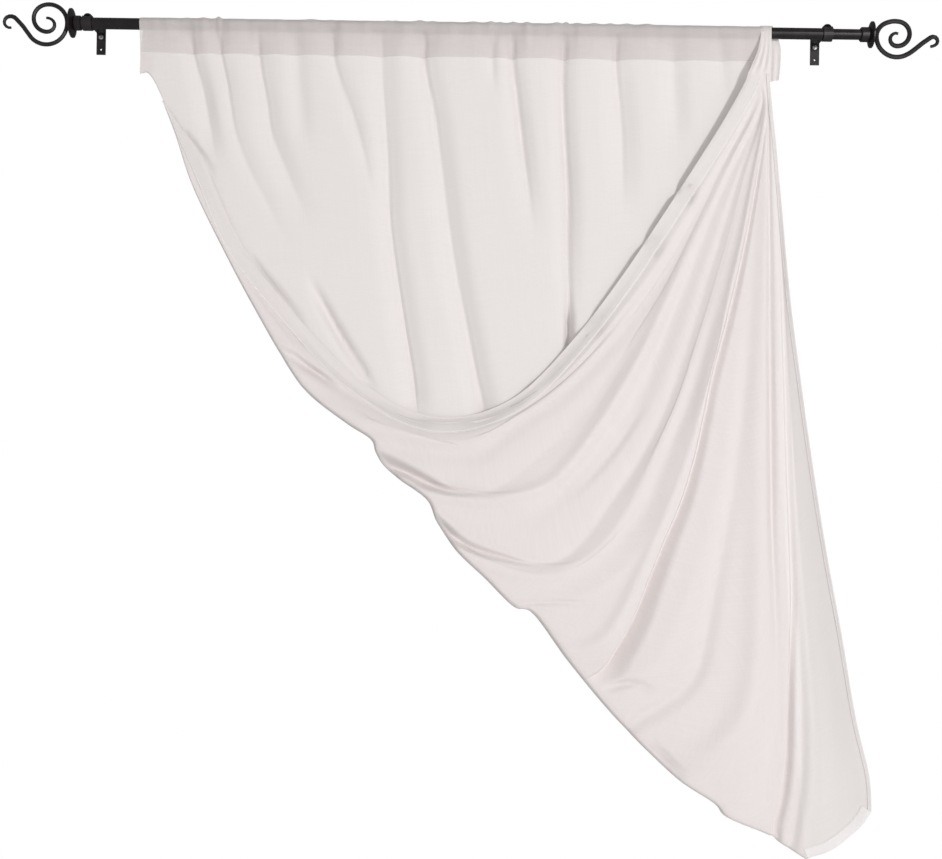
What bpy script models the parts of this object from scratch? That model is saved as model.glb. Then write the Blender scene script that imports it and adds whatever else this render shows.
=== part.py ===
"""Semi-sheer rod-pocket curtain panel on a black metal rod with scroll finials.

The panel is one rectangle of cloth.  Its lower left corner is brought up in front
and laid over the right end of the rod, so it hangs as a pleated back layer and a
front flap of swag folds that fan out from that corner.

Frame: metres, +X along the rod to the right, +Z up, +Y into the wall.  The origin
is the middle of the left wall plate's back face.
"""
import math

import bmesh
import bpy
from mathutils import Matrix, Vector
from mathutils.geometry import interpolate_bezier

# Rod and wall
ROD_Y = -0.085
ROD_Z = 0.006
OUTER_TUBE_R = 0.0098
INNER_TUBE_R = 0.0090
TUBE_SIDES = 32
SEAT_GAP = 0.0003
SOCKET_DEPTH = 0.120

# Wall brackets: the left one stands at x = 0
BRACKET_SPAN = 1.279
RING_R = 0.0129
RING_WIDTH = 0.016
PLATE_HALF_HEIGHT = 0.025
PLATE_THICK = 0.003
ARM_LOW = 0.0115
ARM_HIGH = 0.0150
HOLE_R = 0.0018
HOLE_Z = -0.016
SCREW_R = 0.0042
SCREW_Z = 0.006
KNOB_R = 0.0083
KNOB_RISE = 0.0090

# Cloth
CLOTH_THICK = 0.0016
POCKET_LEFT = 0.092
POCKET_RIGHT = 1.158
STITCH_Z = -0.044
BACK_Y = -0.083
HOOK_Z = -0.072
HOOK_Y = -0.119

# Pocket round the rod: clearance to the tube, how far the gathers stand off in front
# and behind, how far they lift off on top, and how much wider its eight-sided loop is
POCKET_CLEAR = 0.0006
POCKET_FRONT = 0.006
POCKET_BEHIND = 0.005
POCKET_LIFT = 0.0006
LOOP_WIDEN = 1.12
SEAM_DROP = 0.004

# Depth of the folded cloth: the fold's opening at its left end, how much it grows and
# shrinks again, the flap's bow towards the viewer and the back layer's rest depth
FOLD_OPEN = 0.010
FOLD_GROWS = 0.030
FOLD_SHRINKS = 0.010
FLAP_BOW = 0.012
BACK_REST = -0.004

# Grid of the cloth
COLUMNS = 68
EDGE_COLUMNS = 5
BACK_ROWS = 6
FLAP_ROWS = 15
ROW_PACK = 0.35
COLUMN_LEAN = 0.70
TAB_WIDTH = 0.013
STRIP_COLUMNS = 6

# Outline of the fold that joins the back layer to the flap, left top to lowest point:
# x along the wall and z up
CREASE = (
    (0.092, -0.081),
    (0.105, -0.080),
    (0.123, -0.108),
    (0.153, -0.180),
    (0.187, -0.275),
    (0.248, -0.395),
    (0.301, -0.490),
    (0.359, -0.586),
    (0.397, -0.633),
    (0.460, -0.680),
    (0.501, -0.706),
    (0.510, -0.728),
    (0.524, -0.752),
    (0.552, -0.775),
    (0.599, -0.808),
    (0.617, -0.847),
    (0.650, -0.894),
    (0.701, -0.942),
    (0.750, -0.989),
    (0.784, -1.001),
    (0.847, -1.084),
    (0.929, -1.179),
    (1.027, -1.274),
    (1.098, -1.321),
    (1.121, -1.345),
    (1.197, -1.378),
    (1.214, -1.390),
    (1.257, -1.411),
)

# Short hemmed edge from the lowest point to the lower right corner
SHORT_EDGE = (
    (1.257, -1.411),
    (1.298, -1.390),
    (1.348, -1.355),
    (1.371, -1.330),
)

# Lines of the flap that run from the hook to the fold or the short edge.
# near, middle and end are how far the line stands out (+) or sinks in (-) there,
# and width is its half width as a share of the fold's length.
FLAP_LINES = (
    {"line": "side_hem", "width": 0.030, "near": 0.003, "middle": 0.004, "end": 0.000,
     "route": ((1.137, HOOK_Z), (1.038, -0.250), (0.922, -0.446), (0.772, -0.605), (0.620, -0.660),
               (0.483, -0.597), (0.341, -0.463), (0.240, -0.278), (0.163, -0.169), (0.092, -0.081))},
    {"line": "hem_trough", "width": 0.045, "near": -0.004, "middle": -0.011, "end": -0.002,
     "route": ((1.139, HOOK_Z), (1.045, -0.262), (0.938, -0.458), (0.800, -0.625), (0.640, -0.688),
               (0.492, -0.640), (0.355, -0.528), (0.250, -0.380), (0.187, -0.275))},
    {"line": "first_swag", "width": 0.040, "near": 0.004, "middle": 0.012, "end": 0.004,
     "route": ((1.141, HOOK_Z), (1.060, -0.260), (0.958, -0.470), (0.824, -0.650), (0.680, -0.712),
               (0.553, -0.706), (0.460, -0.680))},
    {"line": "first_trough", "width": 0.030, "near": -0.003, "middle": -0.010, "end": -0.014,
     "route": ((1.144, HOOK_Z), (1.080, -0.260), (0.990, -0.480), (0.870, -0.680), (0.740, -0.765),
               (0.620, -0.752), (0.512, -0.732))},
    {"line": "second_swag", "width": 0.035, "near": 0.005, "middle": 0.012, "end": 0.008,
     "route": ((1.147, HOOK_Z), (1.095, -0.240), (1.010, -0.480), (0.920, -0.670), (0.809, -0.780),
               (0.699, -0.800), (0.590, -0.802))},
    {"line": "second_trough", "width": 0.026, "near": -0.004, "middle": -0.012, "end": -0.012,
     "route": ((1.150, HOOK_Z), (1.110, -0.230), (1.035, -0.470), (0.945, -0.700), (0.830, -0.850),
               (0.720, -0.858), (0.620, -0.850))},
    {"line": "third_swag", "width": 0.050, "near": 0.004, "middle": 0.010, "end": 0.010,
     "route": ((1.153, HOOK_Z), (1.127, -0.230), (1.065, -0.460), (0.985, -0.740), (0.896, -0.880),
               (0.790, -0.928), (0.690, -0.932))},
    {"line": "third_trough", "width": 0.020, "near": 0.000, "middle": -0.002, "end": -0.010,
     "route": ((1.155, HOOK_Z), (1.136, -0.230), (1.090, -0.480), (1.020, -0.760), (0.930, -0.950),
               (0.850, -0.995), (0.784, -1.001))},
    {"line": "main_fold", "width": 0.036, "near": -0.005, "middle": -0.017, "end": -0.012,
     "route": ((1.158, HOOK_Z), (1.143, -0.230), (1.116, -0.434), (1.065, -0.680), (1.000, -0.880),
               (0.925, -1.050), (0.855, -1.094))},
    {"line": "belly", "width": 0.060, "near": 0.004, "middle": 0.012, "end": 0.006,
     "route": ((1.161, HOOK_Z), (1.152, -0.240), (1.135, -0.480), (1.105, -0.760), (1.050, -1.000),
               (0.980, -1.120), (0.915, -1.163))},
    {"line": "belly_crease", "width": 0.022, "near": 0.000, "middle": 0.000, "end": -0.009,
     "route": ((1.163, HOOK_Z), (1.158, -0.240), (1.148, -0.480), (1.125, -0.760), (1.090, -1.000),
               (1.030, -1.160), (0.975, -1.224))},
    {"line": "right_ridge", "width": 0.060, "near": 0.003, "middle": 0.008, "end": 0.010,
     "route": ((1.165, HOOK_Z), (1.164, -0.240), (1.162, -0.480), (1.158, -0.765), (1.150, -1.010),
               (1.115, -1.220), (1.070, -1.302))},
    {"line": "thin_fold", "width": 0.018, "near": -0.004, "middle": -0.010, "end": 0.006,
     "route": ((1.167, HOOK_Z), (1.172, -0.240), (1.180, -0.480), (1.186, -0.765), (1.184, -1.010),
               (1.165, -1.240), (1.121, -1.345))},
    {"line": "corner_fold", "width": 0.022, "near": 0.002, "middle": -0.004, "end": -0.018,
     "route": ((1.170, HOOK_Z), (1.180, -0.240), (1.194, -0.480), (1.208, -0.765), (1.223, -1.010),
               (1.226, -1.234), (1.208, -1.386))},
    {"line": "low_point", "width": 0.025, "near": 0.002, "middle": 0.006, "end": 0.008,
     "route": ((1.173, HOOK_Z), (1.186, -0.240), (1.204, -0.480), (1.224, -0.765), (1.242, -1.010),
               (1.254, -1.240), (1.257, -1.411))},
    {"line": "bottom_hem", "width": 0.020, "near": 0.000, "middle": -0.004, "end": -0.006,
     "route": ((1.174, HOOK_Z), (1.190, -0.240), (1.212, -0.453), (1.255, -0.741), (1.303, -1.000),
               (1.351, -1.225), (1.371, -1.330))},
)

# Pleats of the back layer: x at the rod, slant to the right per metre of drop,
# how far down it reaches, how far it sinks in and its half width
PLEATS = (
    {"x": 0.128, "slant": 0.55, "reach": 0.30, "depth": 0.006, "width": 0.012},
    {"x": 0.177, "slant": 0.40, "reach": 0.35, "depth": 0.012, "width": 0.015},
    {"x": 0.226, "slant": 0.36, "reach": 0.75, "depth": 0.013, "width": 0.014},
    {"x": 0.300, "slant": 0.30, "reach": 0.85, "depth": 0.014, "width": 0.018},
    {"x": 0.368, "slant": 0.22, "reach": 0.40, "depth": 0.010, "width": 0.016},
    {"x": 0.425, "slant": 0.22, "reach": 0.85, "depth": 0.014, "width": 0.017},
    {"x": 0.508, "slant": 0.10, "reach": 1.00, "depth": 0.014, "width": 0.017},
    {"x": 0.583, "slant": 0.13, "reach": 1.10, "depth": 0.015, "width": 0.018},
    {"x": 0.655, "slant": 0.08, "reach": 0.60, "depth": 0.008, "width": 0.014},
    {"x": 0.736, "slant": 0.09, "reach": 1.20, "depth": 0.015, "width": 0.017},
    {"x": 0.826, "slant": 0.03, "reach": 1.40, "depth": 0.019, "width": 0.015},
    {"x": 0.915, "slant": 0.03, "reach": 1.40, "depth": 0.014, "width": 0.018},
    {"x": 1.010, "slant": 0.05, "reach": 1.40, "depth": 0.014, "width": 0.018},
    {"x": 1.092, "slant": 0.06, "reach": 1.40, "depth": 0.013, "width": 0.016},
)

# Scroll finials.  side: -1 left, +1 right; face: x of the collar's outer face; bar: radius
# of the round bar; meet: height above the rod where the scroll meets the collar.  coil and
# arm: the bends of the bar from there, upwards and downwards, as radius and turn in
# degrees, positive turns clockwise as seen with the finial pointing right
FINIALS = (
    {"name": "left", "side": -1, "face": -0.0317, "bar": 0.0038, "meet": 0.0, "collar": 0.0250, "sleeve": 0.0118,
     "coil": ((0.0317, 106), (0.0265, 13), (0.0235, 148), (0.0146, 45), (0.0111, 91), (0.0145, 50)),
     "arm": ((0.0414, -24), (0.0352, -123), (0.1533, 14), (0.0124, 72), (0.0099, 163))},
    {"name": "right", "side": 1, "face": 1.3598, "bar": 0.0042, "meet": -0.0027, "collar": 0.0225, "sleeve": 0.0145,
     "coil": ((0.0248, 60), (0.0393, 43), (0.0213, 170), (0.0119, 72), (0.0109, 99), (0.0049, 48)),
     "arm": ((0.0354, -112), (0.0600, -20), (0.2229, 9), (0.0077, 183), (0.0236, 21))},
)
SCROLL_STEPS = 76
SCROLL_TAPER = 0.12
SCROLL_TIP = 0.62

SLEEVE_R = 0.0127
COLLAR_THICK = 0.0085


def clear_scene():
    for obj in list(bpy.data.objects):
        bpy.data.objects.remove(obj, do_unlink=True)


def material(name, colour, roughness, metallic):
    mat = bpy.data.materials.new(name)
    mat.use_nodes = True
    shader = mat.node_tree.nodes["Principled BSDF"]
    shader.inputs["Base Color"].default_value = (*colour, 1.0)
    shader.inputs["Roughness"].default_value = roughness
    shader.inputs["Metallic"].default_value = metallic
    mat.diffuse_color = (*colour, 1.0)
    return mat


def add_object(name, mesh, mat):
    obj = bpy.data.objects.new(name, mesh)
    bpy.context.scene.collection.objects.link(obj)
    mesh.materials.append(mat)
    return obj


def mesh_from_bmesh(name, bm, smooth=True):
    bmesh.ops.recalc_face_normals(bm, faces=bm.faces)
    mesh = bpy.data.meshes.new(name)
    bm.to_mesh(mesh)
    bm.free()
    if smooth:
        mesh.shade_smooth()
        mesh.set_sharp_from_angle(angle=math.radians(40))
    return mesh


# Small maths helpers
def smooth(value):
    value = min(1.0, max(0.0, value))
    return value * value * (3.0 - 2.0 * value)


def blend(a, b, share):
    return a + (b - a) * share


def bump(offset, width):
    return math.exp(-(offset / width) ** 2)


def three_way(near, middle, end, share):
    """A value that goes smoothly from near, by middle, to end."""
    if share < 0.5:
        return blend(near, middle, smooth(share * 2.0))
    return blend(middle, end, smooth(share * 2.0 - 1.0))


class Route:
    """A smooth curve through hand-placed points, read by its share of length."""

    def __init__(self, points, rounded=True, steps=12):
        points = [Vector(p) for p in points]
        self.points = [points[0]]
        for i in range(len(points) - 1):
            start, stop = points[i], points[i + 1]
            if rounded:
                before = points[max(i - 1, 0)]
                after = points[min(i + 2, len(points) - 1)]
                pull_start = start + (stop - before) / 6.0
                pull_stop = stop - (after - start) / 6.0
                arc = interpolate_bezier(start, pull_start, pull_stop, stop, steps + 1)
                self.points += [Vector(p) for p in arc[1:]]
            else:
                self.points += [start.lerp(stop, (k + 1) / steps) for k in range(steps)]
        self.lengths = [0.0]
        for a, b in zip(self.points, self.points[1:]):
            self.lengths.append(self.lengths[-1] + (b - a).length)
        self.length = self.lengths[-1]

    def at(self, share):
        goal = min(1.0, max(0.0, share)) * self.length
        low, high = 0, len(self.lengths) - 1
        while high - low > 1:
            middle = (low + high) // 2
            if self.lengths[middle] > goal:
                high = middle
            else:
                low = middle
        span = self.lengths[high] - self.lengths[low]
        return self.points[low].lerp(self.points[high], (goal - self.lengths[low]) / max(span, 1e-9))

    def share_near(self, point):
        point = Vector(point)
        best = min(range(len(self.points)), key=lambda i: (self.points[i] - point).length)
        return self.lengths[best] / self.length


crease_route = Route(CREASE, rounded=False)
short_route = Route(SHORT_EDGE)
EDGE_SHARE = short_route.length / crease_route.length


def fold_end(line):
    """Where a line of the flap ends: on the fold up to 1, past it on the short edge."""
    if line <= 1.0:
        return crease_route.at(line)
    return short_route.at((line - 1.0) / EDGE_SHARE)


def prepare_flap_lines():
    rows = []
    for row in FLAP_LINES:
        route = Route(row["route"])
        line = crease_route.share_near(row["route"][-1])
        if row["line"] == "bottom_hem":
            line = 1.0 + EDGE_SHARE
        rows.append(dict(row, place=line, curve=route))
    return rows


flap_lines = prepare_flap_lines()


def flap_outline(line, share):
    """Front view of the flap: share 0 is at the hook, 1 at the fold."""
    after = 1
    while after < len(flap_lines) - 1 and flap_lines[after]["place"] < line:
        after += 1
    low, high = flap_lines[after - 1], flap_lines[after]
    weight = (line - low["place"]) / (high["place"] - low["place"])
    weight = min(1.0, max(0.0, weight))
    point = low["curve"].at(share).lerp(high["curve"].at(share), weight)
    miss = fold_end(line) - low["curve"].at(1.0).lerp(high["curve"].at(1.0), weight)
    return point + miss * share ** 4


def flap_relief(line, share):
    total = 0.0
    for row in flap_lines:
        height = three_way(row["near"], row["middle"], row["end"], share)
        total += height * bump(line - row["place"], row["width"])
    return total


def layer_gap(line):
    """Distance between the back layer and the flap beside the fold."""
    opened = FOLD_OPEN + FOLD_GROWS * smooth(line / 0.25)
    return opened - FOLD_SHRINKS * smooth((line - 0.6) / 0.4)


def flap_y(line, share):
    fold_side = BACK_Y - layer_gap(line)
    base = blend(HOOK_Y, fold_side, smooth(share))
    base -= FLAP_BOW * math.sin(math.pi * share)
    settle = 1.0 - 0.5 * smooth((share - 0.85) / 0.15)
    return base - flap_relief(line, share) * settle


def pleat_relief(x, z):
    """How far the back layer sinks towards the wall at a place of the front view."""
    drop = ROD_Z - z
    total = BACK_REST
    for row in PLEATS:
        middle = row["x"] + row["slant"] * drop
        fade = 1.0 - smooth((drop - 0.6 * row["reach"]) / (0.5 * row["reach"]))
        spread = row["width"] * (1.0 + 0.5 * drop)
        total += row["depth"] * fade * bump(x - middle, spread)
    return total


TAB_SHARE = TAB_WIDTH / crease_route.length
HEM_SHARE = 0.022
FOLD_REACH = (0.003, 0.03)


def column_lines():
    """Where the columns meet the fold: the side hem's two, then the ones that lean to the right."""
    leaning = [(k / (COLUMNS - 1)) ** COLUMN_LEAN for k in range(COLUMNS)]
    return [0.0] + [blend(TAB_SHARE, 1.0, share) for share in leaning]


def pocket_x(line):
    """Where on the rod the column starts that meets the fold at this share of its length."""
    if line < TAB_SHARE:
        return POCKET_LEFT + TAB_WIDTH * line / TAB_SHARE
    share = (min(1.0, line) - TAB_SHARE) / (1.0 - TAB_SHARE)
    return blend(POCKET_LEFT + TAB_WIDTH, POCKET_RIGHT, share ** (1.0 / COLUMN_LEAN))


def back_point(line, share):
    """Back layer from the stitched line (share 0) to the fold's back side (share 1)."""
    top = Vector((pocket_x(line), STITCH_Z))
    foot = fold_end(line)
    inward = fold_inward(line) * 0.5 * layer_gap(line)
    low = Vector((foot.x + inward.x, foot.y + inward.y))
    knee = Vector((blend(top.x, low.x, 0.35), blend(top.y, low.y, 0.5)))
    point = (1.0 - share) ** 2 * top + 2.0 * share * (1.0 - share) * knee + share ** 2 * low
    settle = 1.0 - 0.6 * smooth((share - 0.8) / 0.2)
    return Vector((point.x, BACK_Y + pleat_relief(point.x, point.y) * settle, point.y))


def fold_inward(line):
    """Unit direction from the fold's outline into the cloth, in the front view."""
    reach = min(FOLD_REACH[1], max(FOLD_REACH[0], line))
    a = crease_route.at(max(0.0, min(1.0, line) - reach))
    b = crease_route.at(min(1.0, line + reach))
    along = (b - a).normalized()
    return Vector((-along.y, along.x))


def turn_point(line, angle):
    """Rounded turn at the fold: angle -90 is the back layer, +90 the flap."""
    foot = fold_end(line)
    inward = fold_inward(line)
    half = 0.5 * layer_gap(line)
    back = back_point(line, 1.0)
    front_y = flap_y(line, 1.0)
    reach = half * (1.0 - math.cos(math.radians(angle)))
    y = blend(back.y, front_y, 0.5 + 0.5 * math.sin(math.radians(angle)))
    return Vector((foot.x + inward.x * reach, y, foot.y + inward.y * reach))


def flap_point(line, share):
    """Flap from the fold's front side (share 1) to the hook (share 0)."""
    hem = min(HEM_SHARE, 4.0 * line) * (1.0 - share ** 4)
    flat = flap_outline(max(line, hem), share)
    if line <= 1.0:
        inward = fold_inward(line) * 0.5 * layer_gap(line) * smooth((share - 0.75) / 0.25)
        flat = flat + inward
    return Vector((flat.x, flap_y(line, share), flat.y))


def pocket_ripple(line):
    """Gathers of the pocket: 0 where the cloth is tight on the rod, 1 on a ruffle."""
    x = pocket_x(line)
    depth = sum(row["depth"] * bump(x - row["x"], row["width"]) for row in PLEATS)
    return 1.0 - min(1.0, depth / 0.013)


def pocket_points(line):
    """The loop of the pocket, from the stitched line up behind the rod and down in front."""
    x = pocket_x(line)
    ripple = pocket_ripple(line)
    seat = OUTER_TUBE_R + POCKET_CLEAR + 0.5 * CLOTH_THICK
    stitch_y = back_point(line, 0.0).y
    front = seat + 0.001 + POCKET_FRONT * ripple
    behind = seat + 0.001 + POCKET_BEHIND * ripple
    lift = POCKET_LIFT * ripple
    loop = [Vector((x, stitch_y + CLOTH_THICK, STITCH_Z))]
    loop.append(Vector((x, blend(stitch_y, ROD_Y + behind, 0.7), blend(STITCH_Z, ROD_Z, 0.5))))
    for angle in (0, 45, 90, 135, 180):
        turn = math.radians(angle)
        side = behind if angle < 90 else front
        wide = blend(side, seat * LOOP_WIDEN, abs(math.sin(turn)))
        tall = seat + lift if angle == 90 else seat * LOOP_WIDEN + 0.5 * lift
        loop.append(Vector((x, ROD_Y + wide * math.cos(turn), ROD_Z + tall * math.sin(turn))))
    loop.append(Vector((x, blend(stitch_y, ROD_Y - front, 0.6), blend(STITCH_Z, ROD_Z, 0.5))))
    loop.append(Vector((x, stitch_y, STITCH_Z)))
    return loop


# The corner of the panel: a bunched strip that goes up in front of the rod, over it,
# and ends in a short tail behind it.  x of both edges, y and z of each cross line
STRIP_FRONT = (
    {"left": 1.1450, "right": 1.1770, "y": -0.1160, "z": -0.052},
    {"left": 1.1560, "right": 1.1785, "y": -0.1100, "z": -0.030},
    {"left": 1.1600, "right": 1.1795, "y": -0.1020, "z": -0.010},
)
STRIP_OVER = {"left_from": 1.1600, "left_to": 1.1640, "right_from": 1.1800, "right_to": 1.1950, "steps": 6}
STRIP_TAIL = (
    {"left": 1.1690, "right": 1.2020, "y": -0.0705, "z": -0.012},
    {"left": 1.1700, "right": 1.2025, "y": -0.0710, "z": -0.040},
    {"left": 1.1710, "right": 1.2000, "y": -0.0710, "z": -0.077},
)
TAIL_SLOPE = 0.006


def strip_points():
    """Cross lines of the strip from the hook over the rod to the tail's end."""
    seat = (OUTER_TUBE_R + POCKET_CLEAR + 0.5 * CLOTH_THICK) * 1.05
    lines = list(STRIP_FRONT)
    for k in range(STRIP_OVER["steps"] + 1):
        share = k / STRIP_OVER["steps"]
        turn = math.pi * (1.0 - share)
        lines.append({"left": blend(STRIP_OVER["left_from"], STRIP_OVER["left_to"], share),
                      "right": blend(STRIP_OVER["right_from"], STRIP_OVER["right_to"], share ** 2),
                      "y": ROD_Y + seat * math.cos(turn), "z": ROD_Z + seat * math.sin(turn)})
    lines += STRIP_TAIL
    rows = []
    for row in lines:
        free = row["z"] < -0.02
        cross = []
        for k in range(STRIP_COLUMNS + 1):
            share = k / STRIP_COLUMNS
            fold = 0.0015 * abs(math.sin(3.0 * math.pi * share)) if free else 0.0
            side = -1.0 if row["y"] < ROD_Y else 1.0
            z = row["z"] + (TAIL_SLOPE * share if row is lines[-1] else 0.0)
            cross.append(Vector((blend(row["left"], row["right"], share), row["y"] + side * fold, z)))
        rows.append(cross)
    return rows


def cloth_rows():
    """Cross rows of the cloth's middle surface, each a list of (column, point)."""
    lines = column_lines()
    edge_lines = [1.0 + EDGE_SHARE * (k + 1) / EDGE_COLUMNS for k in range(EDGE_COLUMNS)]
    loops = [pocket_points(line) for line in lines]
    rows = [[loop[k] for loop in loops] for k in range(len(loops[0]))]
    pocket_rows = len(rows)
    rows.append([back_point(line, 0.0) + Vector((0.0, 0.0, -SEAM_DROP)) for line in lines])
    for k in range(1, BACK_ROWS):
        rows.append([back_point(line, k / BACK_ROWS) for line in lines])
    for angle in (-90, -40, 0, 40):
        rows.append([turn_point(line, angle) for line in lines])
    for k in range(FLAP_ROWS + 1):
        even = 1.0 - k / FLAP_ROWS
        share = even + ROW_PACK * math.sin(math.tau * even) / math.tau
        rows.append([flap_point(line, share) for line in lines + edge_lines])
    return rows, pocket_rows


def build_cloth(mat):
    rows, pocket_rows = cloth_rows()
    strip = strip_points()
    guide = bmesh.new()
    grid = [[guide.verts.new(point) for point in row] for row in rows]
    tail = [[guide.verts.new(point) for point in row] for row in strip]
    for upper, lower in zip(grid, grid[1:]):
        for k in range(min(len(upper), len(lower)) - 1):
            guide.faces.new((lower[k], lower[k + 1], upper[k + 1], upper[k]))
    for upper, lower in zip(tail, tail[1:]):
        for k in range(STRIP_COLUMNS):
            guide.faces.new((lower[k], lower[k + 1], upper[k + 1], upper[k]))
    hook = grid[-1]
    groups = gather_groups(len(hook))
    for k in range(STRIP_COLUMNS):
        fan = hook[groups[k]:groups[k + 1] + 1]
        guide.faces.new([tail[0][k], tail[0][k + 1]] + fan[::-1])
    guide.normal_update()

    half = 0.5 * CLOTH_THICK
    all_rows = grid + tail
    front = [[v.co + v.normal * half for v in row] for row in all_rows]
    back = [[v.co - v.normal * half for v in row] for row in all_rows]
    bm = bmesh.new()
    front_v = [[bm.verts.new(point) for point in row] for row in front]
    back_v = [[bm.verts.new(point) for point in row] for row in back]
    seam = pocket_rows - 1
    for k in range(COLUMNS + 1):
        stitch = grid[seam][k]
        bm.verts.remove(back_v[0][k])
        bm.verts.remove(front_v[0][k])
        inner = stitch.co - stitch.normal * half
        back_v[seam][k].co = inner
        back_v[0][k] = back_v[seam][k]
        joint = stitch.co - stitch.normal * (1.6 * CLOTH_THICK)
        back_v[seam + 1][k].co = joint + Vector((0.0, 0.0, -0.5 * SEAM_DROP))
        front_v[0][k] = back_v[seam + 1][k]

    def quads(rows_in, first, last):
        for upper, lower in zip(rows_in[first:last], rows_in[first + 1:last + 1]):
            for k in range(min(len(upper), len(lower)) - 1):
                bm.faces.new((upper[k], upper[k + 1], lower[k + 1], lower[k]))

    last_fine = len(grid) - 1
    last_strip = len(all_rows) - 1
    quads(front_v, 0, last_fine)
    quads(back_v, 0, seam)
    quads(back_v, seam + 1, last_fine)
    for side in (front_v, back_v):
        quads(side, last_fine + 1, last_strip)
        for k in range(STRIP_COLUMNS):
            near = [side[last_fine + 1][k], side[last_fine + 1][k + 1]]
            fan = side[last_fine][groups[k]:groups[k + 1] + 1]
            middle = len(fan) // 2
            for i in range(len(fan) - 1):
                apex = near[0] if i < middle else near[1]
                bm.faces.new((fan[i], fan[i + 1], apex))
            bm.faces.new((fan[middle], near[1], near[0]))

    def rim(a, b, c, d):
        bm.faces.new((a, b, c, d))

    short_row = len(grid) - 1 - FLAP_ROWS
    for r in range(last_strip):
        rim(front_v[r][0], front_v[r + 1][0], back_v[r + 1][0], back_v[r][0])
        ends_here = COLUMNS if r < short_row else -1
        end_below = COLUMNS if r + 1 <= short_row else -1
        rim(front_v[r][ends_here], front_v[r + 1][end_below],
            back_v[r + 1][end_below], back_v[r][ends_here])
    for k in range(COLUMNS, COLUMNS + EDGE_COLUMNS):
        rim(front_v[short_row][k], front_v[short_row][k + 1],
            back_v[short_row][k + 1], back_v[short_row][k])
    for k in range(STRIP_COLUMNS):
        rim(front_v[-1][k], front_v[-1][k + 1], back_v[-1][k + 1], back_v[-1][k])
    guide.free()
    bmesh.ops.triangulate(bm, faces=bm.faces, quad_method="FIXED")
    return add_object("curtain_panel", mesh_from_bmesh("curtain_panel", bm, smooth=False), mat)


def gather_groups(count):
    return [round(k * (count - 1) / STRIP_COLUMNS) for k in range(STRIP_COLUMNS + 1)]


def turned(name, profile, mat, axis_start, side=1):
    """A solid turned about the rod's axis from (distance, radius) pairs along +X times side."""
    bm = bmesh.new()
    rings = []
    for distance, radius in profile:
        x = axis_start + side * distance
        if radius < 1e-6:
            rings.append([bm.verts.new((x, ROD_Y, ROD_Z))])
            continue
        ring = []
        for k in range(TUBE_SIDES):
            turn = math.tau * k / TUBE_SIDES
            ring.append(bm.verts.new((x, ROD_Y + radius * math.cos(turn), ROD_Z + radius * math.sin(turn))))
        rings.append(ring)
    for a, b in zip(rings, rings[1:]):
        for k in range(TUBE_SIDES):
            nxt = (k + 1) % TUBE_SIDES
            if len(a) == 1:
                bm.faces.new((a[0], b[k], b[nxt]))
            elif len(b) == 1:
                bm.faces.new((a[k], b[0], a[nxt]))
            else:
                bm.faces.new((a[k], b[k], b[nxt], a[nxt]))
    return add_object(name, mesh_from_bmesh(name, bm), mat)


def build_rod(mat):
    """Outer tube with a socket at its right end, and the thinner tube that slides in it."""
    left_end = FINIALS[0]["face"] + COLLAR_THICK + FINIALS[0]["sleeve"] + 2.0 * SEAT_GAP
    right_end = BRACKET_SPAN + 0.5 * RING_WIDTH - 0.001
    socket = right_end - SOCKET_DEPTH
    bore = INNER_TUBE_R + SEAT_GAP
    outline = (
        (left_end, 0.0),
        (left_end, OUTER_TUBE_R),
        (right_end, OUTER_TUBE_R),
        (right_end, bore),
        (socket, bore),
        (socket, 0.0),
    )
    turned("rod_outer_tube", outline, mat, 0.0)
    inner_end = FINIALS[1]["face"] - COLLAR_THICK - FINIALS[1]["sleeve"] - 2.0 * SEAT_GAP
    inner = (
        (socket + SEAT_GAP, 0.0),
        (socket + SEAT_GAP, INNER_TUBE_R),
        (inner_end, INNER_TUBE_R),
        (inner_end, 0.0),
    )
    turned("rod_inner_tube", inner, mat, 0.0)


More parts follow.
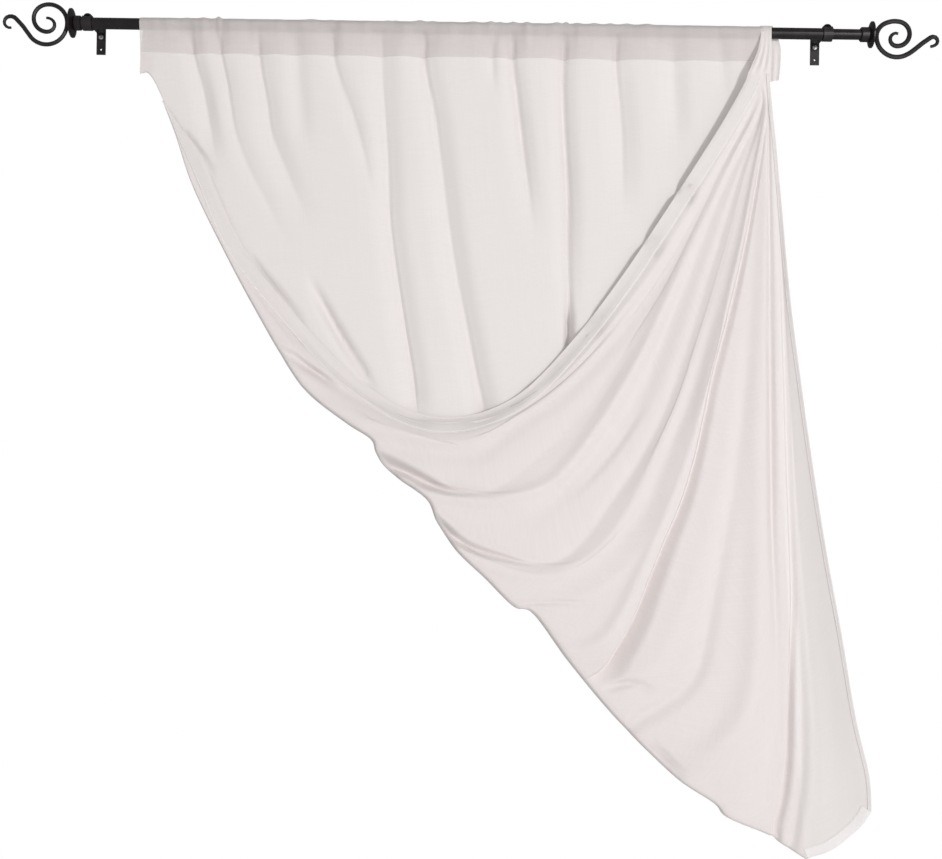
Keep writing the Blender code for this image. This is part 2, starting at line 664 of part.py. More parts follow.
def build_bracket(name, x, mat):
    """Wall plate, straight arm and the ring round the rod, cut from one outline."""
    bm = bmesh.new()
    bore = OUTER_TUBE_R + SEAT_GAP
    ring_outer = [(ROD_Y + RING_R * math.cos(math.tau * k / TUBE_SIDES),
                   ROD_Z + RING_R * math.sin(math.tau * k / TUBE_SIDES)) for k in range(TUBE_SIDES)]
    ring_inner = [(ROD_Y + bore * math.cos(math.tau * k / TUBE_SIDES),
                   ROD_Z + bore * math.sin(math.tau * k / TUBE_SIDES)) for k in range(TUBE_SIDES)]
    sides = []
    for dx in (-0.5 * RING_WIDTH, 0.5 * RING_WIDTH):
        outer = [bm.verts.new((x + dx, y, z)) for y, z in ring_outer]
        inner = [bm.verts.new((x + dx, y, z)) for y, z in ring_inner]
        sides.append((outer, inner))
        for k in range(TUBE_SIDES):
            nxt = (k + 1) % TUBE_SIDES
            bm.faces.new((outer[k], outer[nxt], inner[nxt], inner[k]))
    for part in (0, 1):
        for k in range(TUBE_SIDES):
            nxt = (k + 1) % TUBE_SIDES
            bm.faces.new((sides[0][part][k], sides[0][part][nxt], sides[1][part][nxt], sides[1][part][k]))
    bracket = add_object(name, mesh_from_bmesh(name, bm), mat)

    arm_start = ROD_Y + math.sqrt(bore ** 2 - (ARM_LOW - ROD_Z) ** 2) + SEAT_GAP
    arm = box_object(name + "_arm_guide", (x - 0.5 * RING_WIDTH + 0.002, arm_start, ARM_LOW),
                     (x + 0.5 * RING_WIDTH - 0.002, -0.5 * PLATE_THICK, ARM_HIGH), mat)
    plate = box_object(name + "_plate_guide", (x - 0.5 * RING_WIDTH, -PLATE_THICK, -PLATE_HALF_HEIGHT),
                       (x + 0.5 * RING_WIDTH, 0.0, PLATE_HALF_HEIGHT), mat)
    hole = drill_object(name + "_hole_guide", (x, -0.5 * PLATE_THICK, HOLE_Z), HOLE_R, 4.0 * PLATE_THICK, mat)
    for guide, work in ((arm, "UNION"), (plate, "UNION"), (hole, "DIFFERENCE")):
        guide.hide_render = True
        guide.display_type = "WIRE"
        cut = bracket.modifiers.new(guide.name, "BOOLEAN")
        cut.object = guide
        cut.operation = work
        cut.solver = "EXACT"
    return bracket


def box_object(name, low, high, mat):
    bm = bmesh.new()
    corners = [[low[i] if not bit & (1 << i) else high[i] for i in range(3)] for bit in range(8)]
    v = [bm.verts.new(c) for c in corners]
    for loop in ((0, 2, 3, 1), (4, 5, 7, 6), (0, 1, 5, 4), (2, 6, 7, 3), (0, 4, 6, 2), (1, 3, 7, 5)):
        bm.faces.new([v[i] for i in loop])
    return add_object(name, mesh_from_bmesh(name, bm, smooth=False), mat)


def drill_object(name, centre, radius, depth, mat):
    """A round bar along Y, used to drill the wall plate."""
    bm = bmesh.new()
    bmesh.ops.create_cone(bm, cap_ends=True, segments=12, radius1=radius, radius2=radius, depth=depth)
    bmesh.ops.rotate(bm, verts=bm.verts, matrix=Matrix.Rotation(math.radians(90.0), 3, "X"))
    bmesh.ops.translate(bm, verts=bm.verts, vec=centre)
    return add_object(name, mesh_from_bmesh(name, bm, smooth=False), mat)


def build_knob(name, x, mat):
    """Dome of the set screw, seated on top of the bracket's ring."""
    floor = RING_R + SEAT_GAP
    bm = bmesh.new()
    bmesh.ops.create_uvsphere(bm, u_segments=20, v_segments=16, radius=KNOB_R)
    bmesh.ops.translate(bm, verts=bm.verts, vec=(0.0, 0.0, KNOB_RISE))
    geometry = bm.verts[:] + bm.edges[:] + bm.faces[:]
    cut = bmesh.ops.bisect_plane(bm, geom=geometry, plane_co=(0, 0, floor), plane_no=(0, 0, 1), clear_inner=True)
    rim = [item for item in cut["geom_cut"] if isinstance(item, bmesh.types.BMEdge)]
    bmesh.ops.contextual_create(bm, geom=rim)
    bmesh.ops.translate(bm, verts=bm.verts, vec=(x, ROD_Y, ROD_Z))
    add_object(name, mesh_from_bmesh(name, bm), mat)


def build_plate_screw(name, x, mat):
    """Pan head on the wall plate, a shallow dome turned about Y."""
    profile = ((0.0, SCREW_R), (0.0010, SCREW_R), (0.0019, 0.75 * SCREW_R), (0.0023, 0.0))
    bm = bmesh.new()
    sides = 20
    base = -PLATE_THICK - SEAT_GAP
    rings = []
    for height, radius in profile:
        if radius == 0.0:
            rings.append([bm.verts.new((x, base - height, SCREW_Z))])
            continue
        rings.append([bm.verts.new((x + radius * math.cos(math.tau * k / sides), base - height,
                                    SCREW_Z + radius * math.sin(math.tau * k / sides))) for k in range(sides)])
    bm.faces.new(rings[0])
    for a, b in zip(rings, rings[1:]):
        for k in range(sides):
            nxt = (k + 1) % sides
            if len(b) == 1:
                bm.faces.new((a[k], a[nxt], b[0]))
            else:
                bm.faces.new((a[k], a[nxt], b[nxt], b[k]))
    add_object(name, mesh_from_bmesh(name, bm), mat)


def bent_bar(start, heading, bends):
    """Points along a bar bent in arcs; the heading is in degrees above the outward direction."""
    points = [Vector(start)]
    for radius, turn in bends:
        side = math.copysign(1.0, turn)
        steps = max(2, round(abs(turn) / 8.0))
        angle = math.radians(heading)
        centre = points[-1] + radius * side * Vector((math.sin(angle), -math.cos(angle)))
        spoke = points[-1] - centre
        for k in range(steps):
            swing = Matrix.Rotation(-math.radians(turn) * (k + 1) / steps, 2)
            points.append(centre + swing @ spoke)
        heading -= turn
    return points


def scroll_route(row):
    """Middle line of the scroll: its inner end, round the coil, past the collar, along the arm."""
    meet = (row["bar"] + SEAT_GAP, row["meet"])
    coil = bent_bar(meet, 90.0, row["coil"])
    arm = bent_bar(meet, -90.0, row["arm"])
    return Route(coil[::-1] + arm[1:], rounded=False, steps=1)


def build_scroll(row, mat):
    middle = scroll_route(row)
    curve = bpy.data.curves.new("scroll_" + row["name"], "CURVE")
    curve.dimensions = "3D"
    curve.bevel_depth = row["bar"]
    curve.bevel_resolution = 2
    curve.use_fill_caps = True
    spline = curve.splines.new("POLY")
    spline.points.add(SCROLL_STEPS - 1)
    for k in range(SCROLL_STEPS):
        share = k / (SCROLL_STEPS - 1)
        point = middle.at(share)
        spline.points[k].co = (row["face"] + row["side"] * point.x, ROD_Y, ROD_Z + point.y, 1.0)
        end = min(share, 1.0 - share)
        spline.points[k].radius = blend(SCROLL_TIP, 1.0, smooth(end / SCROLL_TAPER))
    obj = bpy.data.objects.new("scroll_" + row["name"], curve)
    bpy.context.scene.collection.objects.link(obj)
    curve.materials.append(mat)


def build_finial(row, mats):
    """Collar disc, sleeve and scroll of one end of the rod."""
    inward = -row["side"]
    rim = row["collar"]
    collar = (
        (0.0, 0.0),
        (0.0, 0.60 * rim),
        (0.0016, 0.80 * rim),
        (0.0030, rim),
        (0.0055, rim),
        (0.0070, 0.80 * rim),
        (COLLAR_THICK, 0.60 * rim),
        (COLLAR_THICK, 0.0),
    )
    turned("collar_" + row["name"], collar, mats["collar"], row["face"], inward)
    start = row["face"] + inward * (COLLAR_THICK + SEAT_GAP)
    sleeve = (
        (0.0, 0.0),
        (0.0, 0.94 * SLEEVE_R),
        (0.0015, SLEEVE_R),
        (row["sleeve"] - 0.0015, SLEEVE_R),
        (row["sleeve"], 0.90 * SLEEVE_R),
        (row["sleeve"], 0.0),
    )
    turned("sleeve_" + row["name"], sleeve, mats["sleeve"], start, inward)
    build_scroll(row, mats["scroll"])


def main():
    clear_scene()
    black = (0.012, 0.008, 0.010)
    mats = {
        "cloth": material("sheer_cloth", (0.80, 0.74, 0.73), 0.85, 0.0),
        "outer": material("rod_black", black, 0.30, 0.6),
        "inner": material("inner_tube_black", black, 0.30, 0.6),
        "bracket": material("bracket_black", (0.020, 0.017, 0.018), 0.45, 0.5),
        "knob": material("knob_black", black, 0.35, 0.6),
        "screw": material("screw_steel", (0.55, 0.55, 0.56), 0.35, 0.9),
        "sleeve": material("sleeve_black", black, 0.40, 0.5),
        "collar": material("collar_black", black, 0.35, 0.5),
        "scroll": material("scroll_black", (0.018, 0.015, 0.016), 0.50, 0.4),
    }
    build_cloth(mats["cloth"])
    build_rod(mats["outer"])
    for side, x in (("left", 0.0), ("right", BRACKET_SPAN)):
        build_bracket("bracket_" + side, x, mats["bracket"])
        build_knob("knob_" + side, x, mats["knob"])
        build_plate_screw("plate_screw_" + side, x, mats["screw"])
    for row in FINIALS:
        build_finial(row, mats)


main()
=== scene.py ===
"""Semi-sheer rod-pocket curtain panel on a black metal rod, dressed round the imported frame.

The panel is one rectangle of cloth.  Its lower left corner is brought up in front and
laid over the right end of the rod, so it hangs as a gathered back layer and a front flap
of swag folds that fan out from that corner.  Places are in metres: x to the right along
the rod, y into the wall, z up, with the origin on the left wall plate.

The cloth is a grid.  Its columns go round the rod in the pocket, down the back layer,
forward at the fold, up the flap to the hook, where the corner is bunched, and over the
rod.  lines says where columns meet the fold, as a share of its length, with more than 1
for those that start on the short edge.  A front view has x and z alone.
"""

import math

import bpy
import numpy as np
from mathutils import Matrix, Vector
from mathutils.bvhtree import BVHTree


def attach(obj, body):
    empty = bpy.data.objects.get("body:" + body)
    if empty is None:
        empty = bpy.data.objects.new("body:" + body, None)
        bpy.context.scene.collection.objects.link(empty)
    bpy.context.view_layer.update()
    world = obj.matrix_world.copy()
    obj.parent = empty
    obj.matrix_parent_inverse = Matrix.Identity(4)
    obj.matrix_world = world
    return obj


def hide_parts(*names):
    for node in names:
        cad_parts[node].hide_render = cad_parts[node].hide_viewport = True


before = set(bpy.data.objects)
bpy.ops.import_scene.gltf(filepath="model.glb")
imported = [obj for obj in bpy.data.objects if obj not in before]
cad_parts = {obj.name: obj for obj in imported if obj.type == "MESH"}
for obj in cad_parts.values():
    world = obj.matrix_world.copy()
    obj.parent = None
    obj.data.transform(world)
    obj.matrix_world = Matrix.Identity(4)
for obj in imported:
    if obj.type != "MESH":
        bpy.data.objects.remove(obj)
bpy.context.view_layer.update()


def metres(value):
    return tuple(part / 1000.0 for part in value) if isinstance(value, tuple) else value / 1000.0


def table(columns, *rows):
    """Rows of a table as records by column, with the columns in mm read into metres."""
    return [{name.removesuffix("_mm"): metres(value) if name.endswith("_mm") else value
             for name, value in zip(columns.split(), row)} for row in rows]


# Rod
ROD_Y = -0.085
ROD_Z = 0.006
OUTER_TUBE_R = 0.0098

# Cloth as it was cut, and where it hangs
FLAT_WIDTH = 1.372
FLAT_LENGTH = 1.829
POCKET_LEFT = 0.092
POCKET_RIGHT = 1.167
TAB_WIDTH = 0.013
STITCH_Z = -0.044
BACK_Y = -0.083
BACK_REST = -0.004
HOOK_Y = -0.114
HOOK_Z = -0.072
HOOK_LEFT = 1.137
HOOK_RIGHT = 1.174
CLOTH_SEAT = 0.0007

# Photograph: its size in pixels, and the camera that took it
PHOTO_WIDTH = 942
PHOTO_HEIGHT = 859
CAMERA_AT = (0.673, -2.385, -0.687)
CAMERA_ROLL = 0.84
SENSOR_WIDTH = 36.0
LENS = 50.81

# Gap between the layers along the fold: it grows up to FOLD_GROWN, then narrows, and shuts at the end
FOLD_OPEN = 0.007
FOLD_GROWS = 0.040
FOLD_GROWN = 0.45
FOLD_SHRINKS = 0.010
FOLD_NARROWS = 0.60
FOLD_SHUT = 0.30
FOLD_SHUTS = 0.95

# Nose of the fold: its share of that gap, where on the flap it starts, and how far its direction looks
FOLD_NOSE = 0.17
NOSE_FROM = 0.75
FOLD_REACH = (0.003, 0.030)

# How far in front of the back layer the fold's outline is seen
FOLD_SEEN = 0.017

# Flap: clearance before the back layer and its soft range, the short edge's reach, the long hem's hug
LAYER_CLEAR = 0.0025
LAYER_SOFT = 0.006
EDGE_FORWARD = 0.024
EDGE_SETTLES = 1.7
EDGE_HUGS = 0.30

# How far the flap bows towards the viewer half way down, by place on the fold
FLAP_BOWS = table(
    "line bow_mm",
    (0.00, 0),
    (0.06, -5),
    (0.12, -12),
    (0.22, -10),
    (0.30, -11),
    (0.37, -12),
    (0.50, -7),
    (0.70, 6),
    (1.10, 10),
)

# Grid of the cloth
COLUMNS = 400
EDGE_COLUMNS = 18
COLUMN_LEAN = 0.70
WRAP_ROWS = 7
PANEL_ROWS = 8
BACK_ROWS = 52
BACK_LEAN = 1.15
TURN_ROWS = 7
FLAP_ROWS = 122
STRIP_ROWS = 20
FIRST_BACK = 2 * PANEL_ROWS + 2 * WRAP_ROWS
FIRST_FLAP = FIRST_BACK + BACK_ROWS + TURN_ROWS

# Steps along curves, along the flap's lines, and in the search for even columns
CURVE_STEPS = 12
CREASE_STEPS = 5
STRIP_STEPS = 8
LINE_STEPS = 400
COLUMN_STEPS = 6000

# Columns follow the flap's width at these shares of its length, and crowd beside the fine lines
COLUMN_SHARES = (0.45, 0.65, 0.82, 1.0)
COLUMN_WEIGHT = 0.5
FINE_LINES = {"first_swag": 0.8, "second_swag": 0.8, "main_fold": 3.0, "corner_fold": 5.0}
FINE_ASIDE = 0.004
FINE_WIDTH = 0.012

# Pocket: distance off the rod, tight and with the slack of its gathers, its swell, its seam, its rows
BEHIND_TIGHT = 0.0010
BEHIND_SLACK = 0.0040
FRONT_TIGHT = 0.0014
FRONT_SLACK = 0.0035
TOP_TIGHT = 0.0002
POCKET_SWELL = 0.0030
SEAM_GAP = 0.0012
SEAM_DIP = {"depth": 0.0012, "at": 0.9, "width": 0.08}
ROW_LEANS = {"behind": 0.8, "over": 1.5, "front": 0.9}

# Back layer's creases on the pocket: their strength, how soon below the rod, where they begin on it
POCKET_CREASES = 1.1
POCKET_CREASES_SOON = 1.5
TOP_CREASES = (0.55, 0.85)

# Gathers along the rod, as waves
GATHERS = table(
    "length_mm phase part",
    (61.0, 0.3, 0.45),
    (37.0, 1.7, 0.30),
    (21.3, 4.1, 0.25),
)

# Hems: widths, height off the cloth, cross lines, and how their room on the cloth is found
SIDE_HEM = 0.025
SHORT_HEM = 0.018
BOTTOM_HEM = 0.006
HEM_LEAST = 0.0008
HEM_RISE = 0.0010
HEM_PARTS = table(
    "part rise",
    (0.05, 1.0),
    (0.35, 1.0),
    (0.65, 1.0),
    (0.94, 1.0),
    (1.00, 0.1),
)
HEM_PROBES = 12
HEM_EVENED = 5
HEM_STEP = 0.03
RAY_START = 0.5
TINY = 1e-9

# Stitches: size and pitch, height as a share of the width, place on the hem, distance off the cloth
STITCH_LENGTH = 0.0030
STITCH_PITCH = 0.0042
STITCH_WIDTH = 0.0014
STITCH_HEIGHT = 0.6
STITCH_TOP = (0.25, 0.75)
STITCH_SHARE = 0.2
STITCH_OFF_HEM = 0.0002
STITCH_OFF_SEAM = 0.0006
STITCH_FACES = ((0, 1, 4), (1, 2, 5, 4), (2, 3, 5), (3, 0, 4, 5), (3, 2, 1, 0))

# Outline of the fold that joins the back layer to the flap, left top to lowest point
CREASE = (
    (0.092, -0.081), (0.105, -0.080), (0.123, -0.108), (0.153, -0.180), (0.187, -0.275), (0.248, -0.395),
    (0.301, -0.490), (0.359, -0.586), (0.397, -0.633), (0.460, -0.680), (0.501, -0.706), (0.510, -0.728),
    (0.524, -0.752), (0.552, -0.775), (0.599, -0.808), (0.617, -0.847), (0.650, -0.894), (0.701, -0.942),
    (0.750, -0.989), (0.784, -1.001), (0.847, -1.084), (0.929, -1.179), (1.027, -1.274), (1.098, -1.321),
    (1.121, -1.345), (1.197, -1.378), (1.214, -1.390), (1.259, -1.417),
)

# Short hemmed edge from the lowest point to the lower right corner
SHORT_EDGE = (
    (1.259, -1.417), (1.299, -1.396), (1.341, -1.355), (1.359, -1.322),
)

# Lines of the flap from the hook to the fold or the short edge, seen at these pixels of the photograph
FLAP_LINES = table(
    "name kind depth_mm width_mm fade seen",
    ("side_hem", "ridge", (0, 1, 1), 10, (0.0, 0.1), (
        (744, 84), (725, 118), (700, 158), (661, 218), (620, 279), (573, 340), (518, 395), (458, 418),
        (404, 409), (345, 368), (286, 303), (238, 240), (203, 160), (180, 127), (168, 109), (161, 99))),
    ("left_top", "ridge", (0, 0, 0), 10, (0.0, 0.1), (
        (748, 85), (729, 119), (704, 159), (665, 219), (624, 279), (578, 340), (523, 395), (463, 420),
        (410, 413), (352, 378), (300, 327), (258, 280), (228, 240), (206, 208), (192, 186))),
    ("left_fold", "trough", (0, 1, 3), 8, (0.0, 0.1), (
        (751, 86), (733, 120), (707, 160), (669, 220), (628, 280), (582, 340), (529, 395), (470, 422),
        (440, 424), (415, 421), (390, 411), (360, 393), (325, 368), (296, 338), (268, 305), (243, 277),
        (226, 256))),
    ("hem_band", "trough", (1, 2, 7), 9, (0.0, 0.0), (
        (755, 86), (738, 120), (712, 162), (676, 220), (636, 281), (590, 340), (540, 393), (480, 424),
        (450, 428), (420, 426), (390, 415), (360, 400), (330, 383), (310, 370), (295, 357), (279, 351))),
    ("hem_ridge", "ridge", (1, 4, 3), 13, (0.0, 0.0), (
        (757, 90), (742, 122), (716, 166), (682, 223), (644, 285), (604, 337), (555, 388), (500, 424),
        (470, 436), (445, 440), (420, 438), (390, 430), (360, 417), (335, 408), (320, 403))),
    ("hem_trough", "trough", (2, 6, 6), 16, (0.0, 0.0), (
        (758, 92), (746, 122), (722, 168), (690, 228), (654, 287), (614, 340), (565, 390), (525, 418),
        (500, 438), (478, 454), (450, 453), (425, 450), (400, 447), (385, 444), (371, 440))),
    ("first_swag", "trough", (0, 1, 2), 12, (0.3, 0.0), (
        (760, 94), (749, 120), (726, 162), (690, 237), (664, 288), (631, 341), (598, 392), (560, 438),
        (520, 472), (500, 486), (483, 492), (455, 487), (430, 474), (400, 457), (374, 444))),
    ("swag_ridge", "ridge", (2, 8, 5), 12, (0.0, 0.0), (
        (761, 96), (751.5, 122), (731, 162), (696, 237), (674, 287), (649, 341), (627, 380), (605, 416),
        (580, 451), (556, 478), (530, 491), (490, 499), (450, 497), (419, 493))),
    ("upper_trough", "trough", (3, 10, 1), 19, (0.0, 0.1), (
        (762, 98), (754, 126), (738, 158), (718, 196), (700, 240), (683, 286), (668, 326), (655, 360),
        (642, 391), (625, 420), (608, 443), (590, 464), (568, 487), (548, 505), (525, 519), (490, 516),
        (455, 508), (425, 498))),
    ("second_swag", "trough", (1, 4, 3), 10, (0.0, 0.0), (
        (763, 100), (756, 130), (742, 170), (724, 228), (706, 287), (691, 337), (673, 391), (656, 431),
        (636, 466), (613, 499), (592, 530), (567, 556), (540, 564), (500, 551), (468, 538), (447, 520),
        (429, 504))),
    ("low_ridge", "ridge", (1, 5, 4), 14, (0.0, 0.0), (
        (763.5, 101), (757, 132), (745, 174), (730, 232), (713, 291), (697, 341), (681, 391), (662, 436),
        (644, 479), (624, 516), (601, 546), (578, 563), (550, 573), (520, 573), (485, 563), (458, 552))),
    ("low_trough", "trough", (1, 5, 1), 16, (0.0, 0.1), (
        (764, 102), (758, 134), (748, 176), (734, 234), (719, 292), (705, 341), (692, 388), (676, 431),
        (661, 466), (649, 498), (633, 524), (612, 547), (588, 568), (560, 586), (530, 592), (498, 591))),
    ("level_line", "ridge", (0, 3, 2), 12, (0.0, 0.1), (
        (764.5, 102), (759, 136), (750, 178), (738, 236), (724, 293), (712, 343), (699, 391), (685, 434),
        (672, 473), (658, 511), (640, 546), (614, 577), (580, 597), (545, 603), (513, 605))),
    ("fold_ridge", "ridge", (1, 3, 5), 11, (0.0, 0.0), (
        (765, 103), (760, 138), (752, 180), (741, 238), (728, 294), (717, 345), (704, 394), (691, 442),
        (676, 486), (660, 526), (643, 565), (625, 605), (604, 637), (580, 650), (557, 646))),
    ("main_fold", "lip", (6, 18, 32), (7, 18, 38), (0.0, 0.06), (
        (765.5, 103), (761, 138), (754, 180), (745, 230), (736, 272), (727, 310), (718, 345), (709, 380),
        (701, 420), (692, 460), (680, 500), (663, 540), (647, 580), (631, 620), (608, 660), (594, 673),
        (580, 676))),
    ("belly", "ridge", (0, 2, 4), 20, (0.0, 0.1), (
        (766, 103), (762, 140), (758, 184), (751, 252), (743, 322), (734, 401), (723, 470), (709, 530),
        (694, 580), (676, 625), (655, 662), (630, 682), (612, 687), (595, 692))),
    ("belly_crease", "trough", (0, 3, 9), 13, (0.2, 0.0), (
        (766.5, 103), (763.5, 142), (760, 200), (754, 270), (748, 350), (741, 420), (732, 490),
        (722, 550), (713, 600), (706, 640), (699, 668), (685, 690), (662, 707), (640, 720), (624, 726))),
    ("right_ridge", "ridge", (2, 10, 12), 24, (0.0, 0.1), (
        (767, 104), (765, 150), (763.5, 230), (762, 320), (761, 400), (760, 470), (760, 540), (759, 600),
        (758, 650), (752, 690), (738, 725), (712, 752), (685, 768), (665, 768))),
    ("thin_fold", "trough", (4, 10, 1), 7, (0.0, 0.45), (
        (768, 104), (769, 150), (769.5, 230), (770, 320), (771, 400), (772, 470), (773, 540), (776, 600),
        (778, 680), (776, 740), (768, 785), (750, 812), (727, 817))),
    ("corner_fold", "lip", (0, 8, 28), (8, 14, 19), (0.3, 0.0), (
        (769, 103), (773, 160), (777, 240), (780, 320), (783, 400), (786, 480), (789, 550), (790.5, 600),
        (790, 640), (789, 680), (787.5, 720), (786.5, 750), (784, 780), (780, 805), (774, 828),
        (771, 838))),
    ("corner_second", "trough", (0, 1, 6), 7, (0.4, 0.0), (
        (769.3, 103), (774, 155), (778.5, 230), (783, 310), (788, 400), (792, 490), (796, 580),
        (800, 640), (803, 690), (804, 740), (803, 780), (799, 815), (790, 849))),
    ("low_point", "ridge", (0, 2, 4), 20, (0.2, 0.1), (
        (769.6, 103), (774.6, 155), (779.5, 230), (785, 320), (791, 410), (797, 500), (803, 580),
        (809, 650), (814, 710), (815, 770), (812, 815), (805, 856))),
    ("bottom_hem", "ridge", (0, 2, 6), 30, (0.2, 0.0), (
        (770, 84), (773, 116), (776, 144), (781, 200), (790, 298), (801, 382), (813, 466), (826, 550),
        (841, 634), (855, 718), (868, 774), (872, 811))),
)

# Flap's lines are narrow at the hook and widen over this share of their length
TAPER_FROM = 0.22
TAPER_LENGTH = 0.40

# More creases of the flap, in the same terms
FLAP_CREASES = table(
    "name kind depth_mm width_mm fade seen",
    ("wedge_one", "slope", (4, 24, 36), (4, 18, 32), (0.2, 0.0), (
        (485, 492), (455, 487), (430, 474), (400, 457), (374, 444), (360, 438))),
    ("wedge_two", "slope", (5, 16, 26), (6, 13, 20), (0.2, 0.0), (
        (540, 564), (500, 551), (468, 538), (447, 520), (429, 504), (418, 494))),
    ("small_crease", "trough", (2, 12, 3), 5.5, (0.2, 0.2), (
        (596, 690), (612, 686), (628, 682), (643, 687), (656, 695))),
    ("level_crease", "trough", (4, 5, 2), 4, (0.0, 0.3), (
        (513, 603), (535, 602), (560, 601), (583, 602), (600, 603))),
    ("trough_echo", "trough", (2, 4, 1), 6, (0.3, 0.3), (
        (652, 392), (635, 420), (618, 445), (600, 467), (578, 490), (558, 508))),
    ("lower_turn", "trough", (2, 12, 3), 8, (0.2, 0.2), (
        (640, 735), (655, 750), (670, 766), (687, 781))),
    ("swag_tail", "trough", (4, 4, 1), 6, (0.1, 0.4), ((440, 480), (458, 488), (485, 493), (510, 492))),
    ("corner_hollow", "trough", (0, 8, 18), 45, (0.2, 0.0), (
        (777, 240), (783, 400), (789, 550), (791, 640), (789, 720), (785, 780), (774, 838))),
    ("hem_lower_line", "trough", (1, 3, 3), 4.5, (0.2, 0.2), (
        (660, 268), (636, 298), (608, 333), (575, 370), (545, 395), (515, 414), (480, 428))),
    ("hem_touch_high", "trough", (18, 10, 1), 10, (0.0, 0.4), ((675, 185), (684, 192), (700, 204))),
    ("hem_touch_middle", "trough", (14, 7, 1), 13, (0.0, 0.4), ((642, 237), (652, 245), (668, 257))),
    ("hem_touch_low", "trough", (14, 6, 1), 16, (0.0, 0.4), ((582, 314), (594, 325), (610, 339))),
    ("hem_lift", "ridge", (12, 6, 1), 22, (0.0, 0.4), ((518, 374), (530, 386), (545, 400))),
    ("hem_lift_low", "ridge", (8, 4, 1), 20, (0.0, 0.4), ((438, 408), (440, 420), (442, 436))),
    ("left_low", "trough", (4, 10, 4), 6, (0.2, 0.2), ((287, 352), (300, 362), (318, 374), (336, 386))),
    ("left_thin", "trough", (1, 3, 2), 4.5, (0.2, 0.2), (
        (310, 335), (328, 354), (345, 372), (365, 390), (392, 408), (420, 422), (450, 424))),
)

# Troughs of the back layer from the pocket's top down, each a crevice in a hollow with its own spread
BACK_CREASES = table(
    "name depth_mm width_mm hollow_mm spread_mm fade seen",
    ("left_fold", (6, 2, 0), 4, (4, 12, 2), 16, (0.0, 0.3), (
        (187, 18), (189, 40), (194, 60), (202, 90), (208, 120), (214, 150), (222, 180))),
    ("diagonal", (6, 2, 1), 4, (4, 4, 2), 14, (0.0, 0.3), (
        (216, 18), (217, 40), (221, 58), (226, 80), (230, 105), (234, 128), (241, 150), (252, 175),
        (268, 205), (284, 235), (300, 262))),
    ("diagonal_low", (6, 22, 13), 7.5, (0, 0, 0), 10, (0.3, 0.3), (
        (388, 402), (374, 386), (358, 364), (343, 341), (328, 315), (312, 286), (304, 270))),
    ("left_edge_line", (3, 10, 4), 6, (0, 0, 0), 10, (0.2, 0.2), (
        (245, 247), (254, 262), (268, 281), (285, 301), (301, 320), (311, 333))),
    ("left_top_line", (3, 6, 2), 6.5, (0, 0, 0), 10, (0.2, 0.2), (
        (180, 126), (192, 142), (205, 160), (217, 179))),
    ("second", (5, 3, 1), 4, (6, 9, 2), 18, (0.1, 0.3), (
        (258, 36), (259, 60), (262, 80), (266, 100), (270, 130), (277, 150), (290, 180), (303, 208),
        (318, 240))),
    ("faint", (0, 0, 0), 4, (6, 6, 1), 16, (0.0, 0.3), ((296, 45), (298, 80), (302, 120), (306, 160))),
    ("third", (6, 3, 1), 4, (4, 6, 2), 14, (0.0, 0.3), (
        (332, 20), (332, 45), (335, 65), (341, 85), (349, 105), (357, 130), (364, 155), (371, 185),
        (380, 215))),
    ("fourth", (2, 3, 5), 4, (8, 11, 12), 20, (0.0, 0.0), (
        (383, 28), (382, 60), (383, 90), (386, 130), (388, 170), (389, 210), (393, 250), (399, 290),
        (405, 330), (411, 365), (416, 400))),
    ("fifth", (7, 3, 6), 4, (9, 13, 14), 20, (0.0, 0.0), (
        (423, 20), (425, 45), (424, 60), (428, 85), (434, 110), (438, 140), (443, 180), (448, 220),
        (454, 262), (462, 305), (470, 345), (478, 385), (484, 408))),
    ("sixth", (6, 4, 1), 4, (3, 4, 1), 10, (0.0, 0.3), ((498, 24), (493, 45), (492, 65), (494, 95))),
    ("seventh", (8, 8, 1), 4, (6, 11, 3), 16, (0.0, 0.3), (
        (513, 20), (512, 45), (513, 65), (516, 90), (519, 115), (522, 140), (525, 165), (529, 195),
        (533, 225), (537, 250))),
    ("deep", (8, 9, 6), 4.5, (8, 13, 2), 17, (0.0, 0.0), (
        (566, 20), (565, 45), (563, 70), (563, 100), (565, 140), (568, 190), (568, 230), (568, 265),
        (569, 300), (570, 330), (571, 352))),
    ("deep_slit", (4, 24, 24), 6, (0, 0, 0), 10, (0.25, 0.0), (
        (568, 296), (569, 310), (569, 330), (568, 352))),
    ("eighth", (7, 4, 1), 4, (7, 12, 4), 22, (0.0, 0.3), (
        (619, 22), (617, 45), (616, 65), (619, 95), (622, 130), (623, 170), (624, 230))),
    ("ninth", (2, 1, 0), 4, (6, 11, 3), 20, (0.1, 0.3), ((673, 36), (674, 80), (676, 120), (680, 160))),
    ("tenth", (1, 0, 0), 4, (5, 5, 1), 14, (0.1, 0.3), ((720, 36), (722, 70), (724, 105))),
)

# Profiles: reach in widths, crest of a lip or slope, step and rising wall of a lip, foot of a slope
CREASE_REACH = 3.0
LIP_HIGH = 0.12
LIP_WIDE = 0.8
LIP_STEP = 0.0035
LIP_STEP_MOST = 0.4
LIP_FOOT = 0.25
LIP_FOOT_WIDE = 0.3
SLOPE_FOOT = 0.35

# The flap's creases fade out over this height below the hook
CALM_BELOW = 0.010
CALM_HEIGHT = 0.080

# Back layer: bend of its columns, and how its creases settle towards the fold
KNEE_ACROSS = 0.35
KNEE_DOWN = 0.5
SETTLE_FROM = 0.9
SETTLE_LEFT = 0.4

